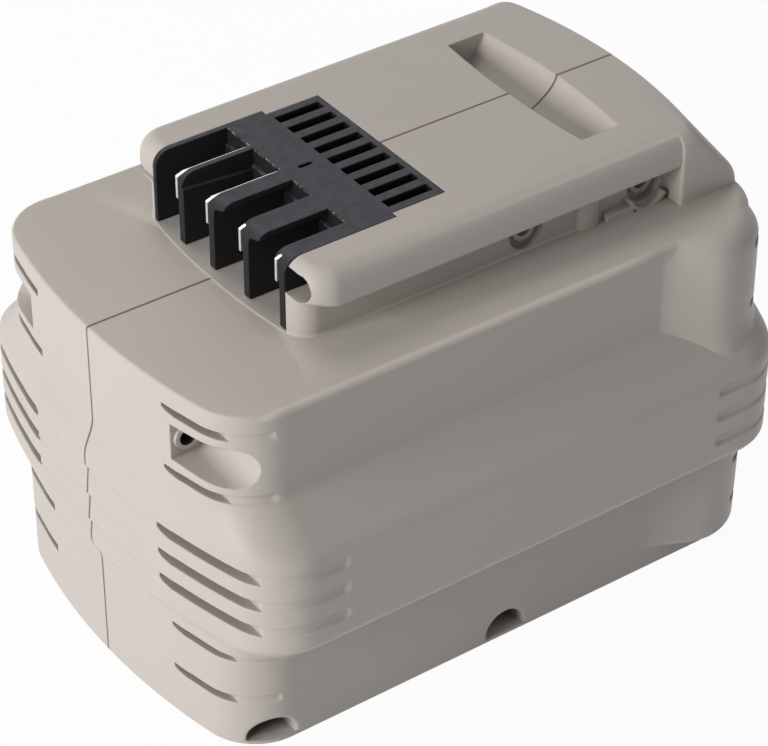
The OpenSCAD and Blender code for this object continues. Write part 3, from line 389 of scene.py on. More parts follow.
def shoulder_solid():
    """Shoulder that ends the side grooves: at each height a plan outline with a flat front, a flank, a round corner
    and a bowed rear edge. The flank is upright and rolls over into the rail's top edge. The rear edge stands
    upright at the foot, then slopes forward to the rail's rear edge along a soft line."""
    front_r, corner_r, roll_r = 0.6, 2.4, RAIL_EDGE_R + 0.4
    foot_y, foot_h, edge_h, sunk = 61.4, 2.2, 14.3, 2.6
    t = np.concatenate([np.linspace(0, 0.3, 12), np.linspace(0.34, 0.7, 8), np.linspace(0.72, 1, 16)])
    z = BODY_H + t * (RAIL_TOP - BODY_H)
    rise = z - BODY_H
    over = np.clip((z - (RAIL_TOP - roll_r)) / roll_r, 0, 1)
    half = SHOULDER_HALF - roll_r * (1 - np.sqrt(1 - over ** 2))
    apex = soft_line(rise, [-5, foot_h, edge_h, 17], [foot_y, foot_y, RAIL_BACK, 49.0], [2.2, 0.7])
    bow_r = np.interp(rise, [0, RAIL_TOP - BODY_H], [END_BOW_R, SHOULDER_BOW_R])
    rings = []
    for level, h, end, bow in zip(z, half, apex, bow_r):
        cx, cy, lean = corner_circle(h, end, corner_r, bow)
        x = np.linspace(bow * np.sin(lean), SEAM, 18)[1:]
        front = arc(h - front_r, STOP_Y + front_r, front_r, -90, 0, 5)[1:]
        outline = np.concatenate([
            [(SEAM, STOP_Y), (h - front_r, STOP_Y)], front, arc(cx, cy, corner_r, 0, 90 - np.degrees(lean), 14),
            np.stack([x, bow_y(x, end, bow)], axis=1)])
        rings.append(np.insert(outline, 2, level, axis=1))
    base = rings[0].copy()
    base[:, 2] -= sunk
    return loft([base] + rings)


def rail_side_fittings(head_side):
    """Round recesses for the two rail screws, with a short tube in each on the side without screw heads, a
    half-round upright rib, and a bar that ends in a strap bent under the rear recess."""
    cup_r, cup_depth, tube_r, tube_drop = 3.75, 1.6, 2.45, 0.8
    rib_y, rib_half, rib_out = 26.85, 2.45, 1.3
    strap_r, strap_t, strap_angles = 4.85, 0.75, (200, 329)
    bar_front, bar_low, bar_top = 30.3, BODY_H - 0.4, BODY_H + 1.6
    inner, outer = NECK_HALF - 0.6, NECK_HALF + 1.75
    steps = []
    for y in RAIL_SCREW_YS:
        place = (y, RAIL_SCREW_Z)
        steps.append(("DIFFERENCE", rod("x", place, cup_r, NECK_HALF - cup_depth, NECK_HALF + 0.3)))
        if not head_side:
            steps.append(("UNION", rod("x", place, tube_r, NECK_HALF - cup_depth - 0.4, NECK_HALF - tube_drop)))
    bulge = arc(0, 0, 1, -90, 90, 17) * (rib_out, rib_half) + (NECK_HALF, rib_y)
    rib = np.concatenate([[(NECK_HALF - 1, rib_y - rib_half)], bulge, [(NECK_HALF - 1, rib_y + rib_half)]])
    steps.append(("UNION", prism("z", BODY_H - 0.5, LIP_Z + 0.5, rib)))
    cup_y = RAIL_SCREW_YS[1]
    strap = np.concatenate([arc(cup_y, RAIL_SCREW_Z, strap_r, *strap_angles, 24),
                            arc(cup_y, RAIL_SCREW_Z, strap_r - strap_t, *strap_angles[::-1], 24)])
    steps.append(("UNION", prism("x", inner, outer, strap)))
    bar = [(bar_front, bar_low), (cup_y - 2.9, bar_low), (cup_y - 3.9, bar_top), (bar_front, bar_top)]
    steps.append(("UNION", prism("x", inner, outer, bar)))
    return steps


def pocket_solid():
    """Latch pocket: along X, a section with an upright front, a narrow slot at its foot and a floor that rolls down
    from the rear edge, a mix of an ellipse's quarter and a straight slope. The front and rear edges bow towards
    each other at the pocket's ends."""
    front_bow, back_bow, slot, slot_depth, ellipse_share = 1.1, 1.7, 1.5, 4, 0.55
    above = RAIL_TOP + 2
    t = np.linspace(0, np.pi / 2, 16)
    rings = []
    for at in np.linspace(-1, POCKET_HALF, 20):
        share = (at / POCKET_HALF) ** 2
        front, back = POCKET_FRONT + front_bow * share, POCKET_BACK - back_bow * share
        foot = front + slot
        floor_y = foot + (back - foot) * np.sin(t)
        lift = ellipse_share * (1 - np.cos(t)) + (1 - ellipse_share) * (floor_y - foot) / (back - foot)
        floor_z = POCKET_Z + (RAIL_TOP - POCKET_Z) * lift
        ring = np.concatenate([
            [(front, above), (front, POCKET_Z - slot_depth), (foot, POCKET_Z - slot_depth)],
            np.stack([floor_y, floor_z], axis=1), [(back, above)]])
        rings.append(np.insert(ring, 0, at, axis=1))
    return loft(rings)


def recess_solid(grow, low, high):
    """Screw recess in the upper front corner: along X, a slot from the end face with a half-round back. Its half
    height grows from the flat inner end to the corner."""
    inner_half, outer_half, full_x = 3.7, 4.2, 34.0
    rings = []
    for x, half in ((low, inner_half), (full_x, outer_half), (high, outer_half)):
        r = half + grow
        ring = np.concatenate([[(-OUT_Y, RECESS_Z - r)], arc(-RECESS_BACK - half, RECESS_Z, r, -90, 90, 24),
                               [(-OUT_Y, RECESS_Z + r)]])
        rings.append(np.insert(ring, 0, x, axis=1))
    return loft(rings)


def recesses(grow, low):
    """The recess at the front, and at the rear one that stops inside the swollen part."""
    rear_stop = 39.5 + grow
    return together(recess_solid(grow, low, OUT_X), mirrored(recess_solid(grow, low, rear_stop), "y"))


def arch_solid(y, grow, low, floor, rim=0.0):
    """Arched opening of a lower screw: along X, a round bar cut flat above the floor that stays under it. Near the
    case's wall its radius grows by the rim along a quarter round, counted from the wall's own surface: the straight
    flank, or the corner circle past the flank's end. The rear one stops inside the swollen part."""
    cx, cy, _ = corner_circle(TIER_HALF, TIER_END if y < 0 else LOW_REAR_END, CORNER_R)

    def ring(swell, x=None, depth=0.0):
        """Arc of the opening at x, or at a depth behind the wall beside each of its points."""
        r = ARCH_R + grow + swell
        a = math.degrees(math.asin((floor - ARCH_Z) / r))
        points = arc(y, ARCH_Z, r, a, 180 - a, 36)
        past = np.clip(np.abs(points[:, 0]) - cy, 0, CORNER_R - 0.5)
        wall = cx + np.sqrt(CORNER_R ** 2 - past ** 2)
        return np.column_stack([wall - depth if x is None else np.full(len(points), x), points])

    rings = [ring(0.0, low)]
    if rim:
        rings += [ring(rim * (1 - math.cos(q)), depth=rim * (1 - math.sin(q)))
                  for q in np.linspace(0, np.pi / 2, 8)]
    rings.append(ring(rim, OUT_X if y < LOWER_SCREW_Y else TIER_HALF + 0.2))
    return loft(rings)


def bay_solid(low, high, inner=-1.0):
    """Bay of the terminal block between two heights: its outline from above, with a bowed front edge. It starts at
    inner across the pack."""
    gap = 0.1
    half, rear_half, step, back = BLOCK_HALF + gap, BLOCK_REAR_HALF + gap, BLOCK_STEP + gap, BLOCK_BACK + gap
    x = np.concatenate([[inner], np.linspace(1, half, 16)])
    outline = np.concatenate([
        np.stack([x, -bow_y(x, 1.8 - RAIL_FRONT)], axis=1),
        [(half, step), (rear_half, step), (rear_half, back), (inner, back)]])
    return prism("z", low, high, outline)


def channel_solid(head_side):
    """Side channel for the block's flange, with a round outer edge. It is open at the front on the side without
    screw heads. On the other it has a shallow mouth with a wall behind it."""
    mouth, wall = 0.8, 1.6
    front, back = RAIL_FRONT - 2, BLOCK_BACK - 2.8
    r = CHANNEL_H / 2
    outline = np.concatenate([[(BLOCK_HALF - 1, CHANNEL_Z - r)], arc(CHANNEL_HALF - r, CHANNEL_Z, r, -90, 90, 24),
                              [(BLOCK_HALF - 1, CHANNEL_Z + r)]])
    if head_side:
        return together(prism("y", front, RAIL_FRONT + mouth, outline),
                        prism("y", RAIL_FRONT + mouth + wall, back, outline))
    return prism("y", front, back, outline)


def corner_grooves(head_side):
    """Corner grooves of the front end: flat-floored slots that run out where the corner turns behind their floor.
    They reach nearer to the seam on the side of the screw heads. On the other their lower edge rises at that
    end."""
    if head_side:
        return [box((HEAD_GROOVE_X, -OUT_Y, z - h / 2), (OUT_X, -GROOVE_Y, z + h / 2)) for z, h, _ in BANDS]
    return [prism("y", -OUT_Y, -GROOVE_Y, [
        (GROOVE_X, z), (GROOVE_X + 0.9, z - 0.28 * h), (GROOVE_X + 3.2, z - h / 2),
        (OUT_X, z - h / 2), (OUT_X, z + h / 2), (GROOVE_X, z + h / 2)]) for z, h, _ in BANDS]


def rear_marks():
    """Short ends of the narrow grooves in the rear corner of the swollen part: flats across the corner's round."""
    depth, half_l, past = 0.6, 6, 20
    # Centre of the corner above and below the wide layer, and directions out of the corner, 48 degrees from X,
    # and along it
    upper_y, lower_y = 46.1, 45.1
    out, along = np.array([0.669, 0.743]), np.array([-0.743, 0.669])
    marks = []
    for z, h, _ in NARROW_BANDS:
        centre = np.array([FLARE_HALF - CORNER_R, upper_y if z > MID_HIGH else lower_y])
        corners = [centre + a * out + b * along for a, b in (
            (CORNER_R - depth, -half_l), (past, -half_l), (past, half_l), (CORNER_R - depth, half_l))]
        marks.append(prism("z", z - h / 2, z + h / 2, corners))
    return marks


def hollow_solid(head_side):
    """Room inside one half: an inner loft a wall's thickness behind the outside, with the corner posts, screw
    bosses, recess housings and pocket tray left standing."""
    slope_shift, rail_boss_r = 1.1, 4.6
    z = np.unique(np.concatenate([np.linspace(WALL, ROOF_Z, 24), [MID_LOW + 1, MID_HIGH - 1]]))[:, None]
    end = TIER_END - WALL + 0 * z
    x, y, *_ = plan_columns(side_half(z, slope_shift) - WALL, end, end, CORNER_R - WALL + 0 * z)
    room = loft(np.stack([x, y, z + 0 * x], axis=-1))
    post_x = (HEAD_GROOVE_X if head_side else GROOVE_X) - GROOVE_WALL
    post = box((post_x, -OUT_Y, -5), (60, -GROOVE_Y + GROOVE_WALL, 90))
    upper = rod("x", (-UPPER_SCREW_Y, RECESS_Z), HEAD_R + 1.35 if head_side else BOSS_R, -1, RECESS_X)
    under_rail = box((SEAM, FIN_BACK + 2.6, ROOF_Z - 2), (NECK_HALF - WALL, STOP_Y - WALL, RAIL_TOP - WALL))
    housings = recesses(HOUSING_T, RECESS_X - HOUSING_T)
    steps = [("UNION", under_rail)]
    steps += [("DIFFERENCE", s) for s in (both_ends(post), both_ends(upper), housings)]
    for y in (-LOWER_SCREW_Y, 0, LOWER_SCREW_Y):
        steps.append(("DIFFERENCE", rod("x", (y, LOWER_SCREW_Z), BOSS_R, -1, ARCH_X)))
        steps.append(("DIFFERENCE", arch_solid(y, HOUSING_T, ARCH_X - HOUSING_T, -2)))
    for y in RAIL_SCREW_YS:
        steps.append(("DIFFERENCE", rod("x", (y, RAIL_SCREW_Z), rail_boss_r, -1, 30)))
    tray_front, tray_turn, tray_back = POCKET_FRONT - 1.8, 31.3, POCKET_BACK + 1.9
    tray_low, tray_high, above = 79.0, 86.0, 95
    tray = [(tray_front, above), (tray_front, tray_low), (tray_turn, tray_low), (tray_back, tray_high),
            (tray_back, above)]
    steps.append(("DIFFERENCE", prism("x", -1, POCKET_HALF + 1.8, tray)))
    return carve(room, *steps)


def case_half(head_side):
    """One half of the case, on the +X side: the body with its flare, rail and shoulder joined on, then hollowed and
    cut for grooves, recesses, bay, pocket and screws. The side that takes the screw heads has wider holes. The
    other has rings round its holes, and carries the low platform under the block, which reaches across the seam."""
    steps = [("UNION", s) for s in (flare_solid(), rail_neck(), rail_plate(), shoulder_solid())]
    steps += rail_side_fittings(head_side)
    arches = [arch_solid(y, 0, ARCH_X, ARCH_FLOOR, rim)
              for y, rim in ((-LOWER_SCREW_Y, ARCH_RIM), (0, ARCH_RIM), (LOWER_SCREW_Y, 0.0))]
    cuts = [hollow_solid(head_side), both_ends(together(*corner_grooves(head_side))), together(*rear_marks()),
            recesses(0, RECESS_X), together(*arches)]
    steps += [("DIFFERENCE", s) for s in cuts]
    if not head_side:
        ring = rod("x", (-UPPER_SCREW_Y, RECESS_Z), BOSS_R - 0.3, RECESS_X - 1, RECESS_X + 0.7)
        steps.append(("UNION", both_ends(ring)))
    places = [(s * UPPER_SCREW_Y, RECESS_Z) for s in (-1, 1)]
    places += [(y, LOWER_SCREW_Z) for y in (-LOWER_SCREW_Y, 0, LOWER_SCREW_Y)]
    places += [(y, RAIL_SCREW_Z) for y in RAIL_SCREW_YS]
    steps.append(("DIFFERENCE", together(*[rod("x", p, BORE_R, -1, 60) for p in places])))
    if head_side:
        steps.append(("DIFFERENCE", together(*[rod("x", p, HEAD_R, HEAD_SEAT, 60) for p in places])))
    bay = bay_solid(BODY_H - 0.004, RAIL_TOP + 3)
    steps += [("DIFFERENCE", s) for s in (bay, channel_solid(head_side), pocket_solid())]
    if not head_side:
        steps.append(("UNION", bay_solid(BODY_H - 1, BAY_FLOOR, SEAM)))
        steps.append(("UNION", mirrored(bay_solid(BODY_H + 0.005, BAY_FLOOR, -0.5), "x")))
    return carve(body_solid(), *steps)


# The terminal block

FIN_LEFTS, FIN_WIDTHS = (-12.5, -2.75, 8.1, 19.2), (1.7, 1.7, 1.7, 1.65)
FIN_R, FIN_FOOT_R = 3.0, 0.2
# Reach of each fin's hood to the left and to the right, and its thickness at the fin and at the edge
HOODS = ((0, 0), (0, 2.0), (1.2, 2.2), (1.95, 0))
HOOD_STEM_T, HOOD_EDGE_T = 1.7, 1.2
CONTACT_XS = (-13.15, -3.4, 7.0, 18.1)
CONTACT_LOW, CONTACT_TOP, CONTACT_BACK = RAIL_TOP - 5.65, RAIL_TOP - 0.65, -12.9
VENT_COUNT, VENT_PITCH, VENT_FRONT, VENT_BACK = 9, 4.15, -11.45, -1.85


def fin_outline(back, low):
    """Side view of a fin: a rectangle with a round upper front corner and a slight one at its foot."""
    foot = arc(RAIL_FRONT + FIN_FOOT_R, low + FIN_FOOT_R, FIN_FOOT_R, 270, 180, 6)
    nose = arc(RAIL_FRONT + FIN_R, RAIL_TOP - FIN_R, FIN_R, 180, 90, 14)
    return np.concatenate([[(back, low)], foot, nose, [(back, RAIL_TOP)]])


def hood_solid(stem, edge, back):
    """Hood that overhangs from a fin's side at stem out to edge: the top of the fin's side view, thinner at the
    edge. Its lower front corner lies where the fin's round corner has dropped by the thickness."""
    rings = []
    for at, t in ((stem, HOOD_STEM_T), (edge, HOOD_EDGE_T)):
        tip = 180 - math.degrees(math.asin((FIN_R - t) / FIN_R))
        nose = arc(RAIL_FRONT + FIN_R, RAIL_TOP - FIN_R, FIN_R, tip, 90, 14)
        ring = np.concatenate([[(back, RAIL_TOP - t)], nose, [(back, RAIL_TOP)]])
        rings.append(np.insert(ring, 0, at, axis=1))
    return loft(rings)


def block_solid():
    """Terminal block: rear wall, top plate, fins and side flanges, with grooves for the contacts, the row of vent
    slots and the test hole cut out. The first inner fin is thinner above a sloped ledge, three fins carry hoods,
    and a low sill runs across the back of the slots."""
    low, wall_back, plate_t = BAY_FLOOR + 0.1, FIN_BACK + 2, 2
    right_edge = [(BLOCK_HALF, FIN_BACK), (BLOCK_HALF, BLOCK_STEP), (BLOCK_REAR_HALF, BLOCK_STEP),
                  (BLOCK_REAR_HALF, BLOCK_BACK)]
    plate = right_edge + [(-x, y) for x, y in right_edge[::-1]]
    steps = [("UNION", box((-BLOCK_HALF, FIN_BACK, low), (BLOCK_HALF, wall_back, RAIL_TOP - 0.01)))]
    steps.append(("UNION", prism("x", -BLOCK_HALF, -BLOCK_HALF + 1.0, fin_outline(wall_back, low))))
    for left, width, (reach_left, reach_right) in zip(FIN_LEFTS, FIN_WIDTHS, HOODS):
        right = left + width
        steps.append(("UNION", prism("x", left, right, fin_outline(wall_back, low))))
        if reach_left:
            steps.append(("UNION", hood_solid(left + 0.2, left - reach_left, wall_back)))
        if reach_right:
            steps.append(("UNION", hood_solid(right - 0.2, right + reach_right, wall_back)))
    ledge_front, ledge_back, above = RAIL_FRONT - 1, FIN_BACK - 0.01, RAIL_TOP + 1
    ledge = [(ledge_front, RAIL_TOP - 2.7), (ledge_back, RAIL_TOP - 4.0), (ledge_back, above), (ledge_front, above)]
    steps.append(("DIFFERENCE", prism("x", FIN_LEFTS[0] + 1.1, FIN_LEFTS[0] + 3, ledge)))
    sill = [(FIN_BACK + 0.5, low), (FIN_BACK - 0.55, low), (FIN_BACK - 0.5, RAIL_TOP - 3.5),
            (FIN_BACK + 0.5, RAIL_TOP - 3.1)]
    steps.append(("UNION", prism("x", -BLOCK_HALF + 0.3, BLOCK_HALF - 0.3, sill)))
    r = CHANNEL_H / 2 - 0.2
    edge = np.concatenate([[(BLOCK_HALF - 0.5, CHANNEL_Z - r)],
                           arc(CHANNEL_HALF - CHANNEL_H / 2, CHANNEL_Z, r, -90, 90, 20),
                           [(BLOCK_HALF - 0.5, CHANNEL_Z + r)]])
    flange = prism("y", RAIL_FRONT + 7, BLOCK_BACK - 3, edge)
    steps.append(("UNION", together(flange, mirrored(flange, "x"))))
    grooves = [box((x - 0.4, RAIL_FRONT - 1, CONTACT_LOW - 0.1), (x + 0.4, CONTACT_BACK, CONTACT_TOP + 0.1))
               for x in CONTACT_XS]
    under, over = 80, 90
    vents = [box((x - 1.15, VENT_FRONT, under), (x + 1.05, VENT_BACK, over))
             for x in VENT_PITCH * (np.arange(VENT_COUNT) - VENT_COUNT // 2)]
    hole_x, hole_front, hole_back, hole_r = -1.65, -16.6, -14.5, 0.45
    hole = np.concatenate([arc(hole_x, hole_front, hole_r, 180, 360, 8), arc(hole_x, hole_back, hole_r, 0, 180, 8)])
    steps += [("DIFFERENCE", s) for s in (together(*grooves), together(*vents), prism("z", under, over, hole))]
    return carve(prism("z", RAIL_TOP - plate_t, RAIL_TOP, plate), *steps)


# Shader tools

def linear(r, g, b):
    """Screen colour, 0 to 255, as linear light for a shader."""
    c = np.array([r, g, b]) / 255
    return tuple(np.where(c <= 0.04045, c / 12.92, ((c + 0.055) / 1.055) ** 2.4)) + (1.0,)


class Wiring:
    """Node tree of a material, a group or the world, with short ways to add wired nodes to it. A value given to a
    node is a socket, which is linked, or a number or colour, which is set."""

    def __init__(self, tree):
        self.nodes, self.links = tree.nodes, tree.links

    def new(self, kind):
        """New shader node."""
        return self.nodes.new("ShaderNode" + kind)

    def feed(self, socket, value):
        """Give an input its value."""
        if isinstance(value, bpy.types.NodeSocket):
            self.links.new(value, socket)
        else:
            socket.default_value = value

    def math(self, operation, *values):
        """Result of a Math node."""
        made = self.new("Math")
        made.operation = operation
        for socket, value in zip(made.inputs, values):
            self.feed(socket, value)
        return made.outputs[0]

    def product(self, first, *others):
        """All values multiplied."""
        for other in others:
            first = self.math("MULTIPLY", first, other)
        return first

    def largest(self, first, *others):
        """Largest of the values."""
        for other in others:
            first = self.math("MAXIMUM", first, other)
        return first

    def blend(self, fac, first, second):
        """Mix of two colours."""
        made = self.new("Mix")
        made.data_type = "RGBA"
        for at, value in ((0, fac), (6, first), (7, second)):
            self.feed(made.inputs[at], value)
        return made.outputs[2]

    def ramp(self, value, start, end, low=0.0, high=1.0):
        """Straight ramp from low at start to high at end, held level outside."""
        made = self.new("MapRange")
        keys = ("Value", "From Min", "From Max", "To Min", "To Max")
        for key, given in zip(keys, (value, start, end, low, high)):
            self.feed(made.inputs[key], given)
        return made.outputs["Result"]

    def noise(self, place, scale, detail, rough):
        """Noise at a place, with its scale in features per metre."""
        made = self.new("TexNoise")
        for key, given in zip(("Vector", "Scale", "Detail", "Roughness"), (place, scale, detail, rough)):
            self.feed(made.inputs[key], given)
        return made.outputs["Fac"]

    def place(self):
        """Object coordinates, in metres."""
        return self.new("TexCoord").outputs["Object"]

    def split(self, vector):
        """X, Y and Z of a vector."""
        made = self.new("SeparateXYZ")
        self.feed(made.inputs[0], vector)
        return made.outputs


def material(name, **values):
    """Material with one Principled shader, whose plain values are set on its own sockets. Returns it with its
    wiring and shader."""
    made = bpy.data.materials.new(name)
    made.use_nodes = True
    w = Wiring(made.node_tree)
    shader = w.nodes["Principled BSDF"]
    for key, value in values.items():
        shader.inputs[key.replace("_", " ").title().replace("Ior", "IOR")].default_value = value
    return made, w, shader


def moulded_grain():
    """Group for moulded plastic: a fine spark-eroded grain as Height, and a slow cloud of tone from 0 to 1."""
    tree = bpy.data.node_groups.new("moulded_grain", "ShaderNodeTree")
    for key in ("Grain", "Cloud"):
        tree.interface.new_socket(key, in_out="INPUT", socket_type="NodeSocketFloat")
    for key in ("Height", "Tone"):
        tree.interface.new_socket(key, in_out="OUTPUT", socket_type="NodeSocketFloat")
    w = Wiring(tree)
    given, out = tree.nodes.new("NodeGroupInput"), tree.nodes.new("NodeGroupOutput")
    place = w.place()
    w.feed(out.inputs["Height"], w.noise(place, given.outputs["Grain"], 3.0, 0.6))
    w.feed(out.inputs["Tone"], w.noise(place, given.outputs["Cloud"], 3.0, 0.55))
    return tree


GRAIN = moulded_grain()


def grain_of(w, grain=2600.0, cloud=22.0):
    """Outputs of the moulded grain group in a material, with its two scales in features per metre."""
    made = w.new("Group")
    made.node_tree = GRAIN
    made.inputs["Grain"].default_value, made.inputs["Cloud"].default_value = grain, cloud
    return made.outputs


def satin(w, shader, grain, rough, edge_mm, bump):
    """Satin surface: roughness that drifts a little with the cloud, fine grain, and edges rounded by edge_mm."""
    drift, grain_mm = 0.05, 0.04
    w.feed(shader.inputs["Roughness"], w.ramp(grain["Tone"], 0, 1, rough - drift, rough + drift))
    soft = w.new("Bevel")
    soft.samples = 6
    soft.inputs["Radius"].default_value = edge_mm * MM
    lift = w.new("Bump")
    lift.inputs["Strength"].default_value = bump
    lift.inputs["Distance"].default_value = grain_mm * MM
    w.feed(lift.inputs["Height"], grain["Height"])
    w.feed(lift.inputs["Normal"], soft.outputs["Normal"])
    w.feed(shader.inputs["Normal"], lift.outputs["Normal"])


def case_painted_shading(w, colour):
    """Painted light and shade over the case's plain colour: painted shade along the line where the halves meet, a
    painted highlight along the flank's top edge, painted shade in hollows by how closed in they are, and in bores
    and arches."""
    at = w.split(w.place())
    side, along = w.math("ABSOLUTE", at["X"]), w.math("ABSOLUTE", at["Y"])

    # Painted shade along the line of the seam, which the low platform in front of the block's wall covers
    covered = w.product(w.math("GREATER_THAN", at["Z"], (BODY_H + 0.1) * MM),
                        w.math("LESS_THAN", at["Z"], (BODY_H + 0.5) * MM),
                        w.math("LESS_THAN", at["Y"], BLOCK_STEP * MM))
    line = w.product(w.ramp(side, 0.18 * MM, 0.4 * MM, 0.75, 0.0), w.math("SUBTRACT", 1.0, covered))
    colour = w.blend(line, colour, linear(118, 95, 78))

    # Painted highlight along the flank's top edge, as far back as the swollen part
    rim = w.product(w.ramp(at["Z"], (BODY_H - 1.3) * MM, (BODY_H - 0.7) * MM, 0.0, 0.55),
                    w.ramp(side, (TIER_HALF - 1.3) * MM, (TIER_HALF - 0.6) * MM),
                    w.ramp(at["Y"], 24 * MM, 34 * MM, 1.0, 0.0))
    colour = w.blend(rim, colour, linear(238, 229, 220))

    # Painted shade in hollows, by how closed in they are
    open_sky = w.new("AmbientOcclusion")
    open_sky.samples, open_sky.only_local = 6, True
    open_sky.inputs["Distance"].default_value = 5 * MM
    painted_hollow_shade = w.ramp(open_sky.outputs["AO"], 0.1, 0.85, 0.42, 0.0)
    colour = w.blend(painted_hollow_shade, colour, linear(118, 98, 84))

    # Painted shade in bores and arches, by the distance from their axes. The arches are painted dark only some way
    # in
    painted_shade_depth = w.ramp(side, 32.5 * MM, 37.5 * MM, 0.8, 0.0)
    for y, z, r in ((UPPER_SCREW_Y, RECESS_Z, BORE_R), (LOWER_SCREW_Y, LOWER_SCREW_Z, BORE_R),
                    (LOWER_SCREW_Y, ARCH_Z, ARCH_R), (0.0, ARCH_Z, ARCH_R)):
        offsets = w.math("SUBTRACT", along, y * MM), w.math("SUBTRACT", at["Z"], z * MM)
        gap = w.math("SQRT", w.math("ADD", *[w.product(v, v) for v in offsets]))
        dark = w.ramp(gap, (r + 0.01) * MM, (r + 0.13) * MM, 0.9, 0.0)
        if r == ARCH_R:
            dark = w.product(dark, painted_shade_depth)
        colour = w.blend(dark, colour, linear(34, 22, 15))
    return colour


def moulded_plastic(name, dark, light, rough, edge_mm, bump, marks=None):
    """Moulded plastic: two tones mixed by the slow cloud, on a satin surface. marks is a function that adds to
    their colour."""
    made, w, shader = material(name, specular_ior_level=0.3)
    grain = grain_of(w)
    colour = w.blend(grain["Tone"], linear(*dark), linear(*light))
    if marks:
        colour = marks(w, colour)
    w.feed(shader.inputs["Base Color"], colour)
    satin(w, shader, grain, rough, edge_mm, bump)
    return made


def block_plastic():
    """Black moulding of the terminal block: dark on its sides, with a patchy painted sheen, greyer and faintly
    blue, where it faces up, painted shade, black, down in the vent slots, and with pale scuffs along two edges at
    the back of the terminal slots."""
    made, w, shader = material("block_plastic", specular_ior_level=0.2)
    grain = grain_of(w)
    place = w.place()
    at, facing = w.split(place), w.split(w.new("NewGeometry").outputs["Normal"])
    # Painted sheen: faces that look up are greyer and faintly blue in patches
    patchy = w.ramp(w.noise(place, 420.0, 6.0, 0.68), 0.32, 0.7, 0.25, 1.0)
    painted_top_sheen = w.product(w.ramp(facing["Z"], 0.5, 0.95), patchy)
    colour = w.blend(painted_top_sheen, linear(33, 33, 37), linear(68, 69, 77))
    # Painted shade: black down in the vent slots, behind the step
    painted_shade_depth = w.ramp(at["Z"], (RAIL_TOP - 1.0) * MM, (RAIL_TOP - 0.12) * MM, 0.92, 0.0)
    behind = w.math("GREATER_THAN", at["Y"], (BLOCK_STEP + 0.1) * MM)
    colour = w.blend(w.product(painted_shade_depth, behind), colour, linear(6, 6, 7))
    worn = w.ramp(w.noise(place, 650.0, 4.0, 0.7), 0.48, 0.56)
    ahead = w.ramp(facing["Y"], -0.3, -0.7)
    # Place, reach and strength of the scuffs along each edge
    for y, z, reach, share in ((FIN_BACK, RAIL_TOP, 0.55, 0.85), (FIN_BACK - 0.4, RAIL_TOP - 3.4, 0.35, 0.45)):
        offsets = [w.math("ABSOLUTE", w.math("SUBTRACT", at[k], v * MM)) for k, v in (("Y", y), ("Z", z))]
        near = w.math("MINIMUM", *[w.ramp(v, 0.0, reach * MM, share, 0.0) for v in offsets])
        colour = w.blend(w.product(near, worn, ahead), colour, linear(172, 170, 166))
    w.feed(shader.inputs["Base Color"], colour)
    satin(w, shader, grain, 0.44, 0.35, 0.35)
    return made


def plated_metal(name, colour, rough, streak, metallic=1.0):
    """Plated strip: bright metal whose roughness follows fine streaks along the rolling direction."""
    made, w, shader = material(name, metallic=metallic, base_color=linear(*colour))
    stretch = w.new("Mapping")
    stretch.inputs["Scale"].default_value = (1.0, 0.06, 1.0)
    w.feed(stretch.inputs["Vector"], w.place())
    lines = w.noise(stretch.outputs["Vector"], streak, 4.0, 0.6)
    w.feed(shader.inputs["Roughness"], w.ramp(lines, 0, 1, rough * 0.6, rough * 1.5))
    return made


# Pieces

def dress(name, solid, finish, slot, *nodes):
    """Finished piece: smooth faces with sharp edges where they meet at more than 32 degrees."""
    piece = put_in_scene(name, solid)
    mesh = piece.data
    mesh.shade_smooth()
    mesh.set_sharp_from_angle(angle=math.radians(32))
    mesh.materials.append(finish)
    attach(piece, "root")
    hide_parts(*nodes)


CASE_PLASTIC = moulded_plastic("case_plastic", (190, 184, 178), (197, 191, 185), 0.47, 0.35, 0.25, case_painted_shading)
right = case_half(False)
left = mirrored(case_half(True), "x")
dress("case_right", right, CASE_PLASTIC, "case_plastic", "right_case_half", "right_rail_half")
dress("case_left", left, CASE_PLASTIC, "case_plastic", "left_case_half", "left_rail_half")
dress("terminal_block_dressed", block_solid(), block_plastic(), "block_plastic", "terminal_block")

NICKEL = plated_metal("contact_nickel", (250, 249, 247), 0.34, 900.0, 0.75)
STEEL = plated_metal("screw_steel", (176, 178, 182), 0.3, 700.0)
SLEEVE = moulded_plastic("cell_sleeve", (52, 104, 92), (60, 116, 102), 0.32, 0.2, 0.1)
PAPER = moulded_plastic("washer_paper", (214, 206, 184), (226, 220, 200), 0.8, 0.1, 0.6)
BOARD = moulded_plastic("fibre_board", (92, 102, 92), (106, 116, 104), 0.7, 0.1, 0.6)
FOAM = moulded_plastic("foam", (60, 60, 62), (74, 74, 76), 0.9, 0.3, 0.9)
RED = moulded_plastic("lead_red", (176, 30, 24), (190, 38, 30), 0.35, 0.1, 0.1)
BLACK = moulded_plastic("lead_black", (22, 22, 24), (30, 30, 32), 0.35, 0.1, 0.1)
BLUE = moulded_plastic("lead_blue", (32, 66, 150), (40, 76, 164), 0.35, 0.1, 0.1)
WHITE = moulded_plastic("lead_white", (220, 214, 200), (228, 222, 210), 0.35, 0.1, 0.1)
# The first of these words that a node's name holds gives its finish
FINISHES = {
    "contact": NICKEL, "links": NICKEL, "screws": STEEL, "cutout": STEEL, "washers": PAPER, "board": BOARD,
    "pad": FOAM, "positive_lead": RED, "negative_lead": BLACK, "lead_a": BLUE, "lead_b": WHITE,
    "thermistor": BLACK, "cell_": SLEEVE,
}
for node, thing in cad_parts.items():
    if thing.hide_render:
        continue
    finish = next((f for key, f in FINISHES.items() if key in node), STEEL)
    thing.data.materials.clear()
    thing.data.materials.append(finish)


# Floor, light and camera

def seen_directly(w):
    """1 for rays from the camera, also by way of a mirror or through glass, and 0 for the rest of the light."""
    path = w.new("LightPath").outputs
    return w.largest(path["Is Camera Ray"], path["Is Glossy Ray"], path["Is Transmission Ray"])


